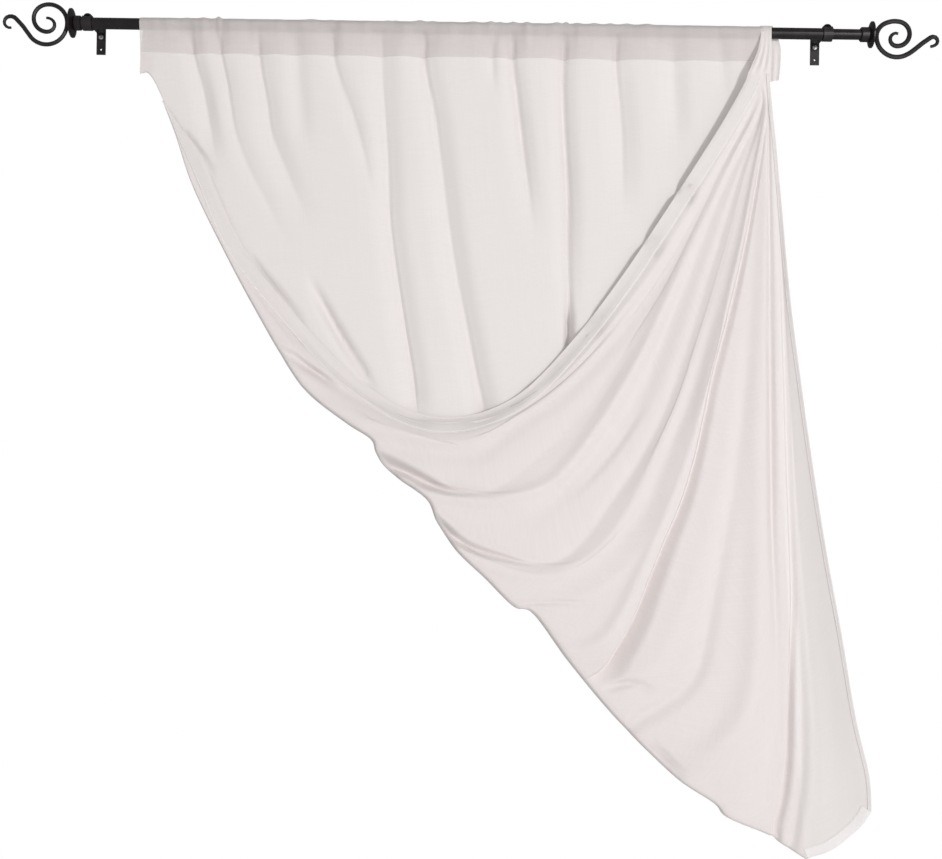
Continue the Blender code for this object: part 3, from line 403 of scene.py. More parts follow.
# Small tucks that lift the cloth off the rod, seen at these pixels from the left and one from the top
TUCKS = table(
    "seen rise_mm width_mm",
    (187, 1, 6),
    (204, 1.6, 6),
    (219, 3.6, 4),
    (312, 1.4, 9),
    (332, 0.8, 6),
    (388, 1, 6),
    (396, 1.2, 5),
    (420, 2.4, 8),
    (433, 1.2, 6),
    (473, 1.4, 8),
    (491, 2.2, 6),
    (500, 1.4, 5),
    (513, 2.4, 5),
    (527, 2.2, 5),
    (557, 2, 7),
    (566, 4, 3),
    (577, 1.6, 7),
    (594, 1.6, 7),
    (610, 1.8, 7),
    (627, 1.8, 8),
    (646, 1.8, 10),
)
TUCK_SEEN_DOWN = 25.0

# Bunched corner of the panel: cross lines up in front of the rod, over it, and down in a tail behind it
STRIP_FRONT = table(
    "left_mm right_mm y_mm z_mm",
    (1146, 1177, -111, -52),
    (1155, 1178.5, -106, -30),
    (1160, 1179.5, -101, -10),
)
STRIP_OVER = {"left": (1.1620, 1.1650), "right": (1.1800, 1.1950), "steps": 6}
STRIP_TAIL = table(
    "left_mm right_mm y_mm z_mm",
    (1169, 1202, -70.5, -12),
    (1170, 1202.5, -71, -40),
    (1171, 1200, -71, -77),
)
STRIP_CLEAR = 0.0026

# Pleats of that strip: number, height on the rod and more where they hang free, slope of the tail's end
PLEATS = 3.0
PLEAT_ON_ROD = 0.0003
PLEAT_FREE = 0.0016
FREE_BELOW = 0.018
FREE_HEIGHT = 0.020
TAIL_SLOPE = 0.006
TAIL_FROM = 0.8

# Flat cloth: share of the way to the corner that the flap takes, and length of a strip row
FLAP_TAKES = 0.97
STRIP_TAKES = 0.006

# Materials of the cloth: colours of thin and thick yarn, cover, and light that goes through. All but the
# first are the same voile with painted shade or painted light in their colours
VOILES = table(
    "name thin thick cover through",
    ("voile", (0.845, 0.785, 0.775), (0.875, 0.820, 0.810), 0.93, 0.20),
    # Turned hems: the voile painted darker, as painted shade on the hem bands
    ("turned_voile", (0.745, 0.695, 0.685), (0.770, 0.722, 0.713), 1.00, 0.10),
    # Pocket: the voile painted darker, as painted shade of the rod under it and of the pocket's shaded top
    ("pocket_voile", (0.800, 0.732, 0.725), (0.840, 0.775, 0.768), 0.74, 0.20),
    # Short hem: the voile painted lighter, as painted light on that hem
    ("short_hem_voile", (0.890, 0.850, 0.845), (0.920, 0.880, 0.875), 1.00, 0.15),
)
VOILE, TURNED, POCKET, SHORT = range(len(VOILES))
SLUB_FINE = 420.0
SLUB_LONG = 9.0

# Black lacquers of the rod's nodes, by the start of the node's name
BLACK = (0.008, 0.005, 0.006)
LACQUERS = table(
    "node name roughness colour grain relief_mm",
    ("rod_outer_tube", "rod_lacquer", 0.24, BLACK, 600.0, 0.03),
    ("rod_inner_tube", "inner_tube_lacquer", 0.26, BLACK, 600.0, 0.03),
    ("bracket", "bracket_lacquer", 0.40, (0.014, 0.011, 0.012), 600.0, 0.03),
    ("knob", "knob_lacquer", 0.30, BLACK, 600.0, 0.03),
    ("sleeve", "sleeve_lacquer", 0.34, BLACK, 600.0, 0.03),
    ("collar", "collar_lacquer", 0.32, BLACK, 600.0, 0.03),
    ("scroll", "wrought_lacquer", 0.42, (0.012, 0.009, 0.010), 260.0, 0.10),
)
LACQUER_GLOSS = 0.30
WARM_GAIN = 1.8
WARM_LIFT = 0.004
ROUGH_LESS = 0.06
ROUGH_MORE = 0.08

# Light: the world's glow from the front and from behind, and two round lamps
GLOW_FROM = (0.0, -1.0, 0.0)
GLOW_FRONT = 0.56
GLOW_BEHIND = 0.14
GLOW_COLOUR = (0.98, 1.0, 0.99, 1.0)
WHITE = (1.0, 1.0, 1.0, 1.0)
LAMPS = table(
    "name at look_at size power",
    ("key_light", (3.20, -5.30, -0.35), (0.70, -0.10, -0.70), 0.60, 167.0),
    ("front_light", (0.70, -3.20, -0.72), (0.68, -0.10, -0.70), 0.50, 9.0),
)

# Floor, below what the camera sees
FLOOR_Z = -1.95
FLOOR_X = (-3.0, 4.5)
FLOOR_Y = (-6.0, 1.3)

# Fine patterns of the finishes, as noise scales
GLOSS_CLOUDS = 160.0
COLOUR_CLOUDS = 45.0
THREAD_TWIST = 900.0
TURNING_LINES = (400.0, 400.0, 2600.0)


# Small maths helpers
def smooth(value):
    value = np.clip(value, 0.0, 1.0)
    return value * value * (3.0 - 2.0 * value)


def eased(value, start, stop):
    """Smooth rise from 0 at start to 1 at stop."""
    return smooth((value - start) / (stop - start))


def blend(a, b, share):
    return a + (b - a) * share


def bump(offset, width):
    return np.exp(-(offset / width) ** 2)


def three_way(near, middle, end, share):
    """A value that goes smoothly from near, by middle, to end."""
    first = blend(near, middle, smooth(share * 2.0))
    second = blend(middle, end, smooth(share * 2.0 - 1.0))
    return np.where(share < 0.5, first, second)


def joined(*sides):
    """Points from their coordinates, each an array or one value for all of them."""
    return np.stack(np.broadcast_arrays(*sides), axis=1)


def run_lengths(points):
    """Length along a run of points up to each of them."""
    return np.concatenate(([0.0], np.cumsum(np.linalg.norm(np.diff(points, axis=0), axis=1))))


def rounded(points, steps):
    """Points of a smooth curve through given points."""
    points = np.array(points, dtype=float)
    guide = np.vstack((points[:1], points, points[-1:]))
    share = np.linspace(0.0, 1.0, steps, endpoint=False)[:, None]
    curve = []
    for before, start, stop, after in zip(guide, guide[1:], guide[2:], guide[3:]):
        pull_start = start + (stop - before) / 6.0
        pull_stop = stop - (after - start) / 6.0
        arc = (1.0 - share) ** 3 * start + 3.0 * share * (1.0 - share) ** 2 * pull_start
        arc += 3.0 * share ** 2 * (1.0 - share) * pull_stop + share ** 3 * stop
        curve.append(arc)
    return np.vstack(curve + [points[-1:]])


class Path:
    """A smooth curve through given points, read by its share of length."""

    def __init__(self, points, steps=CURVE_STEPS):
        self.points = rounded(points, steps)
        self.lengths = run_lengths(self.points)
        self.length = self.lengths[-1]

    def at(self, share):
        goal = np.clip(share, 0.0, 1.0) * self.length
        sides = [np.interp(goal, self.lengths, side) for side in self.points.T]
        return np.stack(sides, axis=-1)

    def share_near(self, point):
        best = np.argmin(np.linalg.norm(self.points - point, axis=1))
        return self.lengths[best] / self.length


# Places seen in the photograph
def seen_places(pixels, depth):
    """Front view of points seen at pixels of the photograph, at depth y."""
    pixels = np.array(pixels, dtype=float)
    scale = (depth - CAMERA_AT[1]) * SENSOR_WIDTH / (LENS * PHOTO_WIDTH)
    right = (pixels[:, 0] - 0.5 * PHOTO_WIDTH) * scale
    up = (0.5 * PHOTO_HEIGHT - pixels[:, 1]) * scale
    cos, sin = math.cos(math.radians(CAMERA_ROLL)), math.sin(math.radians(CAMERA_ROLL))
    return joined(CAMERA_AT[0] + right * cos - up * sin, CAMERA_AT[2] + right * sin + up * cos)


# Creases
def crease_height(row, path, spots, depth="depth", width="width", tapers=False):
    """How far one crease moves each spot of the front view towards the viewer.

    Its depth, and its width where that is three values, is given at its start, middle and
    end, and fade says over which shares of its length it fades in and out.
    """
    points = path.points
    widths = row[width] if isinstance(row[width], tuple) else (row[width],) * 3
    reach = CREASE_REACH * max(widths)
    low = points.min(axis=0) - reach
    high = points.max(axis=0) + reach
    near = np.all((spots > low) & (spots < high), axis=1)
    height = np.zeros(len(spots))
    if not near.any() or not any(row[depth]):
        return height
    spot = spots[near][:, None]
    start = points[:-1]
    along = points[1:] - start
    size = (along ** 2).sum(axis=1)
    share = np.clip(((spot - start) * along).sum(axis=2) / size, 0.0, 1.0)
    away = spot - (start + share[..., None] * along)
    distance = np.hypot(away[..., 0], away[..., 1])
    best = distance.argmin(axis=1)
    pick = np.arange(len(best))
    turn = along[best, 0] * away[pick, best, 1] - along[best, 1] * away[pick, best, 0]
    offset = distance[pick, best] * np.where(turn < 0.0, -1.0, 1.0)
    place = (path.lengths[best] + share[pick, best] * np.sqrt(size[best])) / path.length
    amount = three_way(*row[depth], place)
    rise, fall = row["fade"]
    if rise:
        amount = amount * smooth(place / rise)
    if fall:
        amount = amount * smooth((1.0 - place) / fall)
    wide = three_way(*widths, place)
    if tapers and widths[0] == widths[2]:
        wide = wide * blend(TAPER_FROM, 1.0, smooth(place / TAPER_LENGTH))
    height[near] = amount * crease_profile(row.get("kind", "trough"), offset, wide)
    return height


def crease_profile(kind, offset, width):
    """Height across a crease, as a share of its depth: a trough, a ridge, a lip or a slope.

    Seen along its route, a lip stands high on the right, drops steeply on the left and
    rises again over its width, and a slope is a crest that falls over its width on the left.
    """
    if kind == "trough":
        return -bump(offset, width)
    if kind == "ridge":
        return bump(offset, width)
    high = LIP_HIGH * bump(offset, LIP_WIDE * width)
    if kind == "slope":
        fall = LIP_HIGH - (1.0 + LIP_HIGH) * smooth(offset / width)
        foot = -bump(offset - width, SLOPE_FOOT * width)
        return np.where(offset < 0.0, high, np.where(offset < width, fall, foot))
    step = np.minimum(LIP_STEP, LIP_STEP_MOST * width)
    wall = np.clip(1.0 - offset / width, 0.0, 1.0)
    wall = wall * (1.0 - LIP_FOOT * bump(offset - width, LIP_FOOT_WIDE * width))
    return np.where(offset < 0.0, high, (LIP_HIGH + 1.0) * bump(offset, step) - wall)


# Front view of the flap
fold_path = Path(CREASE)
short_path = Path(SHORT_EDGE)
EDGE_SHARE = short_path.length / fold_path.length
TAB_SHARE = TAB_WIDTH / fold_path.length


def past_fold(lines):
    """Share of the short edge that a column's start lies along it, below 0 on the fold."""
    return (lines - 1.0) / EDGE_SHARE


def fold_end(lines):
    """Where each column leaves the flap: on the fold, or past its end on the short edge."""
    return np.where(lines[:, None] <= 1.0, fold_path.at(lines), short_path.at(past_fold(lines)))


def layer_gap(lines):
    """Distance between the back layer and the flap beside the fold."""
    opened = FOLD_OPEN + FOLD_GROWS * eased(lines, 0.0, FOLD_GROWN)
    opened = opened - FOLD_SHRINKS * eased(lines, FOLD_NARROWS, 1.0)
    return opened * (1.0 - FOLD_SHUT * eased(lines, FOLD_SHUTS, 1.0))


def flap_y(lines, share):
    """Depth of the flap without its folds: share 0 is at the hook, 1 at the fold."""
    open_end = BACK_Y - layer_gap(lines) - EDGE_FORWARD * np.clip(past_fold(lines), 0.0, 1.0)
    beside = eased(lines, 0.0, EDGE_HUGS)
    base = blend(HOOK_Y, open_end, smooth(share * blend(EDGE_SETTLES, 1.0, beside)))
    bow = np.interp(lines, [row["line"] for row in FLAP_BOWS], [row["bow"] for row in FLAP_BOWS])
    return base - bow * np.sin(math.pi * share)


def flap_route(row, order):
    """Route and place on the fold of one line of the flap, the last of them at the corner."""
    last = seen_places(row["seen"][-1:], BACK_Y - FOLD_SEEN)[0]
    place = 1.0 + EDGE_SHARE if order == 1.0 else fold_path.share_near(last)
    share = run_lengths(seen_places(row["seen"], HOOK_Y))
    share /= share[-1]
    route = seen_places(row["seen"], flap_y(np.full(len(share), place), share))
    hook = (blend(HOOK_LEFT, HOOK_RIGHT, order), HOOK_Z)
    return np.vstack((hook, route[:-1], fold_end(np.array([place])))), place


flap_orders = np.arange(len(FLAP_LINES)) / (len(FLAP_LINES) - 1)
flap_routes, flap_places = zip(*map(flap_route, FLAP_LINES, flap_orders))
flap_places = np.array(flap_places)
flap_table = np.stack([Path(route).at(np.linspace(0.0, 1.0, LINE_STEPS + 1)) for route in flap_routes])


def flap_line_points(share):
    """The place on each of the flap's lines at one share of its length."""
    at = share * LINE_STEPS
    low = min(int(at), LINE_STEPS - 1)
    return blend(flap_table[:, low], flap_table[:, low + 1], at - low)


def even_slopes(values):
    """Slope at each of the flap's lines of a curve that never overshoots its values."""
    spans = np.diff(flap_places)[:, None]
    steps = np.diff(values, axis=0) / spans
    low, high = steps[:-1], steps[1:]
    same = low * high > 0.0
    share_low = 2.0 * spans[1:] + spans[:-1]
    share_high = spans[1:] + 2.0 * spans[:-1]
    inverse = share_low / np.where(same, low, 1.0) + share_high / np.where(same, high, 1.0)
    middle = np.where(same, (share_low + share_high) / inverse, 0.0)
    return np.vstack((steps[:1], middle, steps[-1:]))


def between_lines(values, lines):
    """Smooth interpolation between the flap's lines of a value given on each of them."""
    slope = even_slopes(values)
    after = np.clip(np.searchsorted(flap_places, lines, side="right"), 1, len(flap_places) - 1)
    before = after - 1
    span = flap_places[after] - flap_places[before]
    t = np.clip((lines - flap_places[before]) / span, 0.0, 1.0)[:, None]
    span = span[:, None]
    a = (1.0 + 2.0 * t) * (1.0 - t) ** 2 * values[before]
    b = t ** 2 * (3.0 - 2.0 * t) * values[after]
    c = t * (1.0 - t) ** 2 * span * slope[before] + t ** 2 * (t - 1.0) * span * slope[after]
    return a + b + c


def flap_outline(lines, share):
    """Front view of the flap: share 0 is at the hook, 1 at the fold."""
    miss = fold_end(lines) - between_lines(flap_line_points(1.0), lines)
    return between_lines(flap_line_points(share), lines) + miss * share ** 4


def fold_inward(lines):
    """Unit direction from the fold's outline into the cloth, in the front view."""
    reach = np.clip(lines, *FOLD_REACH)
    a = fold_path.at(np.minimum(1.0, lines) - reach)
    b = fold_path.at(np.minimum(1.0, lines) + reach)
    along = (b - a) / np.linalg.norm(b - a, axis=1)[:, None]
    return joined(-along[:, 1], along[:, 0])


# Back layer and pocket
back_paths = [Path(seen_places(row["seen"], BACK_Y), CREASE_STEPS) for row in BACK_CREASES]
tuck_places = seen_places([(row["seen"], TUCK_SEEN_DOWN) for row in TUCKS], ROD_Y)[:, 0]


def pocket_x(lines):
    """Where on the rod the column starts that meets the fold at this share of its length."""
    share = np.clip((np.minimum(1.0, lines) - TAB_SHARE) / (1.0 - TAB_SHARE), 0.0, 1.0)
    leaning = blend(POCKET_LEFT + TAB_WIDTH, POCKET_RIGHT, share ** (1.0 / COLUMN_LEAN))
    return np.where(lines < TAB_SHARE, POCKET_LEFT + TAB_WIDTH * lines / TAB_SHARE, leaning)


def column_lines():
    """Where the columns meet the fold, close together where the cloth's folds need it."""
    fine = np.linspace(0.0, 1.0, COLUMN_STEPS + 1)
    weight = np.gradient(pocket_x(fine)) ** 2
    for share in COLUMN_SHARES:
        step = np.gradient(flap_outline(fine, share), axis=0)
        weight = weight + COLUMN_WEIGHT * (step ** 2).sum(axis=1)
    weight = np.sqrt(weight)
    reached = np.cumsum(weight)
    gain = np.ones(len(fine))
    for row, place in zip(FLAP_LINES, flap_places):
        middle = np.interp(place, fine, reached)
        gain += FINE_LINES.get(row["name"], 0.0) * bump(reached - middle - FINE_ASIDE, FINE_WIDTH)
    reached = np.concatenate(([0.0], np.cumsum((weight * gain)[1:])))
    return np.interp(np.linspace(0.0, 1.0, COLUMNS), reached / reached[-1], fine)


def back_creases(spots):
    """How far the creases and hollows of the back layer move spots towards the viewer."""
    total = np.zeros(len(spots))
    for row, path in zip(BACK_CREASES, back_paths):
        total += crease_height(row, path, spots)
        total += crease_height(row, path, spots, "hollow", "spread")
    return total


def back_row(lines, share):
    """Back layer at one share of its way from the stitched line to the fold."""
    top = joined(pocket_x(lines), STITCH_Z)
    low = fold_end(lines) + fold_inward(lines) * (FOLD_NOSE * layer_gap(lines))[:, None]
    knee = blend(top, low, np.array((KNEE_ACROSS, KNEE_DOWN)))
    spots = (1.0 - share) ** 2 * top + 2.0 * share * (1.0 - share) * knee + share ** 2 * low
    settle = blend(1.0, SETTLE_LEFT, eased(share, SETTLE_FROM, 1.0))
    return joined(spots[:, 0], BACK_Y + (BACK_REST - back_creases(spots)) * settle, spots[:, 1])


def gather_wave(x):
    """Small gathers along the rod, from -1 to 1."""
    return sum(row["part"] * np.sin(math.tau * x / row["length"] + row["phase"]) for row in GATHERS)


def tuck_rise(x):
    return sum(row["rise"] * bump(x - place, row["width"]) for row, place in zip(TUCKS, tuck_places))


def pocket_rows(lines, seam):
    """Rows of the pocket's tunnel, from the seam up behind the rod, over it, down in front."""
    x = pocket_x(lines)
    slack = 0.5 + 0.5 * gather_wave(x)
    tuck = tuck_rise(x)
    seat = OUTER_TUBE_R + CLOTH_SEAT
    behind = seat + BEHIND_TIGHT + BEHIND_SLACK * slack
    front = seat + FRONT_TIGHT + FRONT_SLACK * slack
    seam_y = seam[:, 1]
    rows = []
    for k in range(PANEL_ROWS):
        share = k / PANEL_ROWS
        y = blend(seam_y + SEAM_GAP, ROD_Y + behind, smooth(share ** ROW_LEANS["behind"]))
        y = y + POCKET_SWELL * slack * math.sin(math.pi * share)
        rows.append(joined(x, y, blend(STITCH_Z, ROD_Z, share)))
    for k in range(2 * WRAP_ROWS + 1):
        turn = math.pi * k / (2 * WRAP_ROWS)
        over = abs(math.sin(turn)) ** ROW_LEANS["over"]
        radius = blend(behind if k < WRAP_ROWS else front, seat + TOP_TIGHT, over)
        radius = radius + tuck * (over if k < WRAP_ROWS else 1.0)
        z = ROD_Z + radius * math.sin(turn)
        if k > WRAP_ROWS:
            shown = eased(turn / math.pi, *TOP_CREASES)
            radius = np.maximum(seat, radius + shown * back_creases(joined(x, z)))
        rows.append(joined(x, ROD_Y + radius * math.cos(turn), z))
    start_y = rows[-1][:, 1]
    for k in range(1, PANEL_ROWS):
        share = k / PANEL_ROWS
        z = blend(ROD_Z, STITCH_Z, share)
        dip = SEAM_DIP["depth"] * bump(share - SEAM_DIP["at"], SEAM_DIP["width"])
        shown = POCKET_CREASES * smooth(share * POCKET_CREASES_SOON) * (1.0 - share)
        y = blend(start_y, seam_y, share ** ROW_LEANS["front"]) - dip - shown * back_creases(joined(x, z))
        tube = math.sqrt(max(0.0, seat ** 2 - (z - ROD_Z) ** 2))
        rows.append(joined(x, np.minimum(y, ROD_Y - tube) if tube else y, z))
    return rows


def turn_rows(lines, back, front):
    """Rounded turn at the fold, between the last row of the back layer and the flap's first."""
    foot = fold_end(lines)
    inward = fold_inward(lines)
    half = FOLD_NOSE * layer_gap(lines)
    rows = []
    for k in range(1, TURN_ROWS):
        angle = math.pi * k / TURN_ROWS - 0.5 * math.pi
        y = blend(back[:, 1], front[:, 1], 0.5 + 0.5 * math.sin(angle))
        flat = foot + inward * (half * (1.0 - math.cos(angle)))[:, None]
        rows.append(joined(flat[:, 0], y, flat[:, 1]))
    return rows


def flap_row(lines, share):
    """Flap from the fold's front side (share 1) to the hook (share 0)."""
    shut = 1.0 - smooth(2.0 * past_fold(lines))
    reach = FOLD_NOSE * layer_gap(lines) * shut * eased(share, NOSE_FROM, 1.0)
    flat = flap_outline(lines, share) + fold_inward(lines) * reach[:, None]
    return joined(flat[:, 0], flap_y(lines, share), flat[:, 1])


def strip_rows(hook):
    """Cross rows of the bunched corner, from the hook over the rod to the tail's end."""
    seat = OUTER_TUBE_R + CLOTH_SEAT + STRIP_CLEAR
    cross = [(hook[0, 0], hook[-1, 0], HOOK_Y, HOOK_Z)]
    cross += [tuple(row.values()) for row in STRIP_FRONT]
    for k in range(STRIP_OVER["steps"] + 1):
        share = k / STRIP_OVER["steps"]
        turn = math.pi * (1.0 - share)
        cross.append((blend(*STRIP_OVER["left"], share), blend(*STRIP_OVER["right"], share ** 2),
                      ROD_Y + seat * math.cos(turn), ROD_Z + seat * math.sin(turn)))
    cross += [tuple(row.values()) for row in STRIP_TAIL]
    path = Path(cross, STRIP_STEPS)
    side = (hook[:, 0] - hook[0, 0]) / (hook[-1, 0] - hook[0, 0])
    rows = []
    for k in range(1, STRIP_ROWS + 1):
        left, right, y, z = path.at(k / STRIP_ROWS)
        free = smooth((ROD_Z - FREE_BELOW - z) / FREE_HEIGHT)
        pleat = (PLEAT_ON_ROD + PLEAT_FREE * free) * (1.0 - np.cos(PLEATS * math.tau * side)) * 0.5
        facing = -1.0 if y < ROD_Y else 1.0
        end = TAIL_SLOPE * eased(k / STRIP_ROWS, TAIL_FROM, 1.0)
        rows.append(joined(blend(left, right, side), y + facing * pleat, z + end * side))
    return rows


def apply_flap_creases(rows):
    """Moves the flap's rows by its folds and creases, less and less towards the hook."""
    points = np.vstack(rows)
    spots = points[:, [0, 2]]
    height = np.zeros(len(points))
    for row, route in zip(FLAP_LINES, flap_routes):
        height += crease_height(row, Path(route, CREASE_STEPS), spots, tapers=True)
    for row in FLAP_CREASES:
        height += crease_height(row, Path(seen_places(row["seen"], HOOK_Y), CREASE_STEPS), spots)
    points[:, 1] -= height * smooth((HOOK_Z - CALM_BELOW - spots[:, 1]) / CALM_HEIGHT)
    room = BACK_Y + BACK_REST - LAYER_CLEAR - points[:, 1]
    kept = LAYER_SOFT * np.exp(np.minimum(room / LAYER_SOFT, 1.0) - 1.0)
    points[:, 1] += room - np.where(room < LAYER_SOFT, kept, room)
    return np.split(points, np.cumsum([len(row) for row in rows])[:-1])


def cloth_rows():
    """Rows of the cloth's surface, and the column that each of them starts in."""
    lines = column_lines()
    first = int(np.searchsorted(lines, flap_places[0]))
    lines[first] = flap_places[0]
    edge = 1.0 + EDGE_SHARE * np.arange(1, EDGE_COLUMNS + 1) / EDGE_COLUMNS
    all_lines = np.concatenate((lines[first:], edge))
    back = [back_row(lines, (k / BACK_ROWS) ** BACK_LEAN) for k in range(BACK_ROWS + 1)]
    flap = apply_flap_creases([flap_row(all_lines, 1.0 - k / FLAP_ROWS) for k in range(FLAP_ROWS + 1)])
    turn = turn_rows(lines[first:], back[-1][first:], flap[0][:COLUMNS - first])
    hanging = pocket_rows(lines, back[0]) + back
    folded = turn + flap + strip_rows(flap[-1])
    return hanging + folded, [0] * len(hanging) + [first] * len(folded)


def flat_places(rows, offsets):
    """Place of each point on the flat cloth, in metres, for the weave."""
    places = []
    across = FLAT_WIDTH * (rows[0][:, 0] - rows[0][0, 0]) / (rows[0][-1, 0] - rows[0][0, 0])
    down = np.zeros(COLUMNS)
    before = rows[0]
    for row, offset in zip(rows[:FIRST_FLAP + 1], offsets):
        count = COLUMNS - offset
        down = down[-count:] + np.linalg.norm(row[:count] - before[:COLUMNS][-count:], axis=1)
        before = row[:count]
        places.append(joined(across[offset:], down))
    edge = joined(FLAT_WIDTH, blend(down[-1], FLAT_LENGTH, np.arange(1, EDGE_COLUMNS + 1) / EDGE_COLUMNS))
    fold = np.vstack((places[-1], edge))
    corner = np.array((0.0, FLAT_LENGTH))
    places[-1] = fold
    places += [blend(fold, corner, FLAP_TAKES * k / FLAP_ROWS) for k in range(1, FLAP_ROWS + 1)]
    for k in range(STRIP_ROWS):
        places.append(places[-1] + np.array((0.0, STRIP_TAKES)))
    return places


def grid_faces(sizes, offsets):
    """Quads between neighbouring rows, over the columns that both rows have."""
    starts = np.concatenate(([0], np.cumsum(sizes)[:-1]))
    faces = []
    for r in range(len(sizes) - 1):
        first = max(offsets[r], offsets[r + 1])
        last = min(offsets[r] + sizes[r], offsets[r + 1] + sizes[r + 1])
        columns = np.arange(first, last - 1)
        upper = starts[r] + columns - offsets[r]
        lower = starts[r + 1] + columns - offsets[r + 1]
        faces.append(joined(upper, lower, lower + 1, upper + 1))
    return np.vstack(faces)


def even_grid_faces(rows):
    return grid_faces([len(row) for row in rows], [0] * len(rows))


# Turned hems and their stitches
def surface_y(tree, x, z, facing):
    """Depth of the cloth as met from its front (facing -1) or its wall side, or None."""
    hit = tree.ray_cast(Vector((x, facing * RAY_START, z)), Vector((0.0, -facing, 0.0)))[0]
    return None if hit is None else hit.y


def hem_room(edge, inward, tree, width, facing):
    """How wide the turned hem can be at each point of the edge, up to its own width."""
    room = []
    for point, step in zip(edge[:, [0, 2]], inward):
        reached = 0.0
        for reach in np.linspace(0.0, width, HEM_PROBES + 1)[1:]:
            if surface_y(tree, *(point + step * reach), facing) is None:
                break
            reached = reach
        room.append(reached)
    padded = np.pad(room, HEM_EVENED // 2, mode="edge")
    room = np.convolve(padded, np.full(HEM_EVENED, 1.0 / HEM_EVENED), mode="valid")
    return np.maximum(HEM_LEAST, np.minimum(room, width))


def hem_grid(edge, flat, tree, width, side, facing):
    """A turned hem on the cloth beside its edge, no wider than the cloth there."""
    along = np.gradient(edge[:, [0, 2]], axis=0)
    along /= np.maximum(np.linalg.norm(along, axis=1), TINY)[:, None]
    inward = side * joined(-along[:, 1], along[:, 0])
    room = hem_room(edge, inward, tree, width, facing)
    cross = [edge]
    flats = [flat]
    for row in HEM_PARTS:
        spots = edge[:, [0, 2]] + inward * (room * row["part"])[:, None]
        depth = edge[:, 1].copy()
        for i, (x, z) in enumerate(spots):
            met = surface_y(tree, x, z, facing)
            if met is not None and abs(met - edge[i, 1]) < HEM_STEP:
                depth[i] = met
        cross.append(joined(spots[:, 0], depth + facing * HEM_RISE * row["rise"], spots[:, 1]))
        flats.append(flat + np.array((row["part"] * width, 0.0)))
    return np.array(cross), np.array(flats)


def stitch_run(points, facing):
    """Small raised stitches along a line: their corner points and faces."""
    lengths = run_lengths(points)
    corners = []
    faces = []
    for k in range(int(lengths[-1] / STITCH_PITCH)):
        ends = (k * STITCH_PITCH, k * STITCH_PITCH + STITCH_LENGTH)
        a, b = (np.array([np.interp(end, lengths, side) for side in points.T]) for end in ends)
        along = (b - a) / max(np.linalg.norm(b - a), TINY)
        side = 0.5 * STITCH_WIDTH * np.array((-along[2], 0.0, along[0]))
        lift = np.array((0.0, facing * STITCH_HEIGHT * STITCH_WIDTH, 0.0))
        low = len(corners)
        corners += [a - side, a + side, b + side, b - side]
        corners += [blend(a, b, share) + lift for share in STITCH_TOP]
        faces += [tuple(low + corner for corner in face) for face in STITCH_FACES]
    return corners, faces


# Pieces of the cloth
def new_object(name, data):
    made = bpy.data.objects.new(name, data)
    bpy.context.scene.collection.objects.link(made)
    return made


def new_mesh(name, points, faces, *mats):
    mesh = bpy.data.meshes.new(name)
    mesh.from_pydata(points, [], faces)
    for mat in mats:
        mesh.materials.append(mat)
    return mesh


def build_stitches(runs, mat):
    """One piece of all the stitches along the hems and the pocket's seam."""
    points = []
    faces = []
    for run, facing in runs:
        more, shapes = stitch_run(run, facing)
        faces += [tuple(len(points) + corner for corner in face) for face in shapes]
        points += more
    mesh = new_mesh("hem_stitches", [tuple(map(float, point)) for point in points], faces, mat)
    mesh.update()
    stitches = new_object("hem_stitches", mesh)
    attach(stitches, "root")
    return stitches


def column(rows, number):
    return np.array([row[number] for row in rows])


def hem_table(rows, places, offsets):
    """The hemmed edges of the flap and the back layer, each with the surface it lies on."""
    flap, flap_flat = (part[FIRST_FLAP:FIRST_FLAP + FLAP_ROWS + 1] for part in (rows, places))
    back, back_flat = (part[FIRST_BACK:FIRST_BACK + BACK_ROWS + 1] for part in (rows, places))
    flap_tree, back_tree = (BVHTree.FromPolygons(np.vstack(part).tolist(), even_grid_faces(part).tolist())
                            for part in (flap, back))
    corner = COLUMNS - offsets[-1] - 1
    # The turned hems take the voile with painted shade, the short hem the voile with painted light
    return table(
        "edge flat tree width side facing finish",
        (column(flap, 0), column(flap_flat, 0), flap_tree, SIDE_HEM, -1.0, -1.0, TURNED),
        (column(flap, -1), column(flap_flat, -1), flap_tree, BOTTOM_HEM, 1.0, -1.0, TURNED),
        (flap[0][corner:], flap_flat[0][corner:], flap_tree, SHORT_HEM, 1.0, -1.0, SHORT),
        (column(back, -1), column(back_flat, -1), back_tree, SIDE_HEM, -1.0, 1.0, TURNED),
        (column(back, 0), column(back_flat, 0), back_tree, SIDE_HEM, 1.0, 1.0, TURNED),
    )


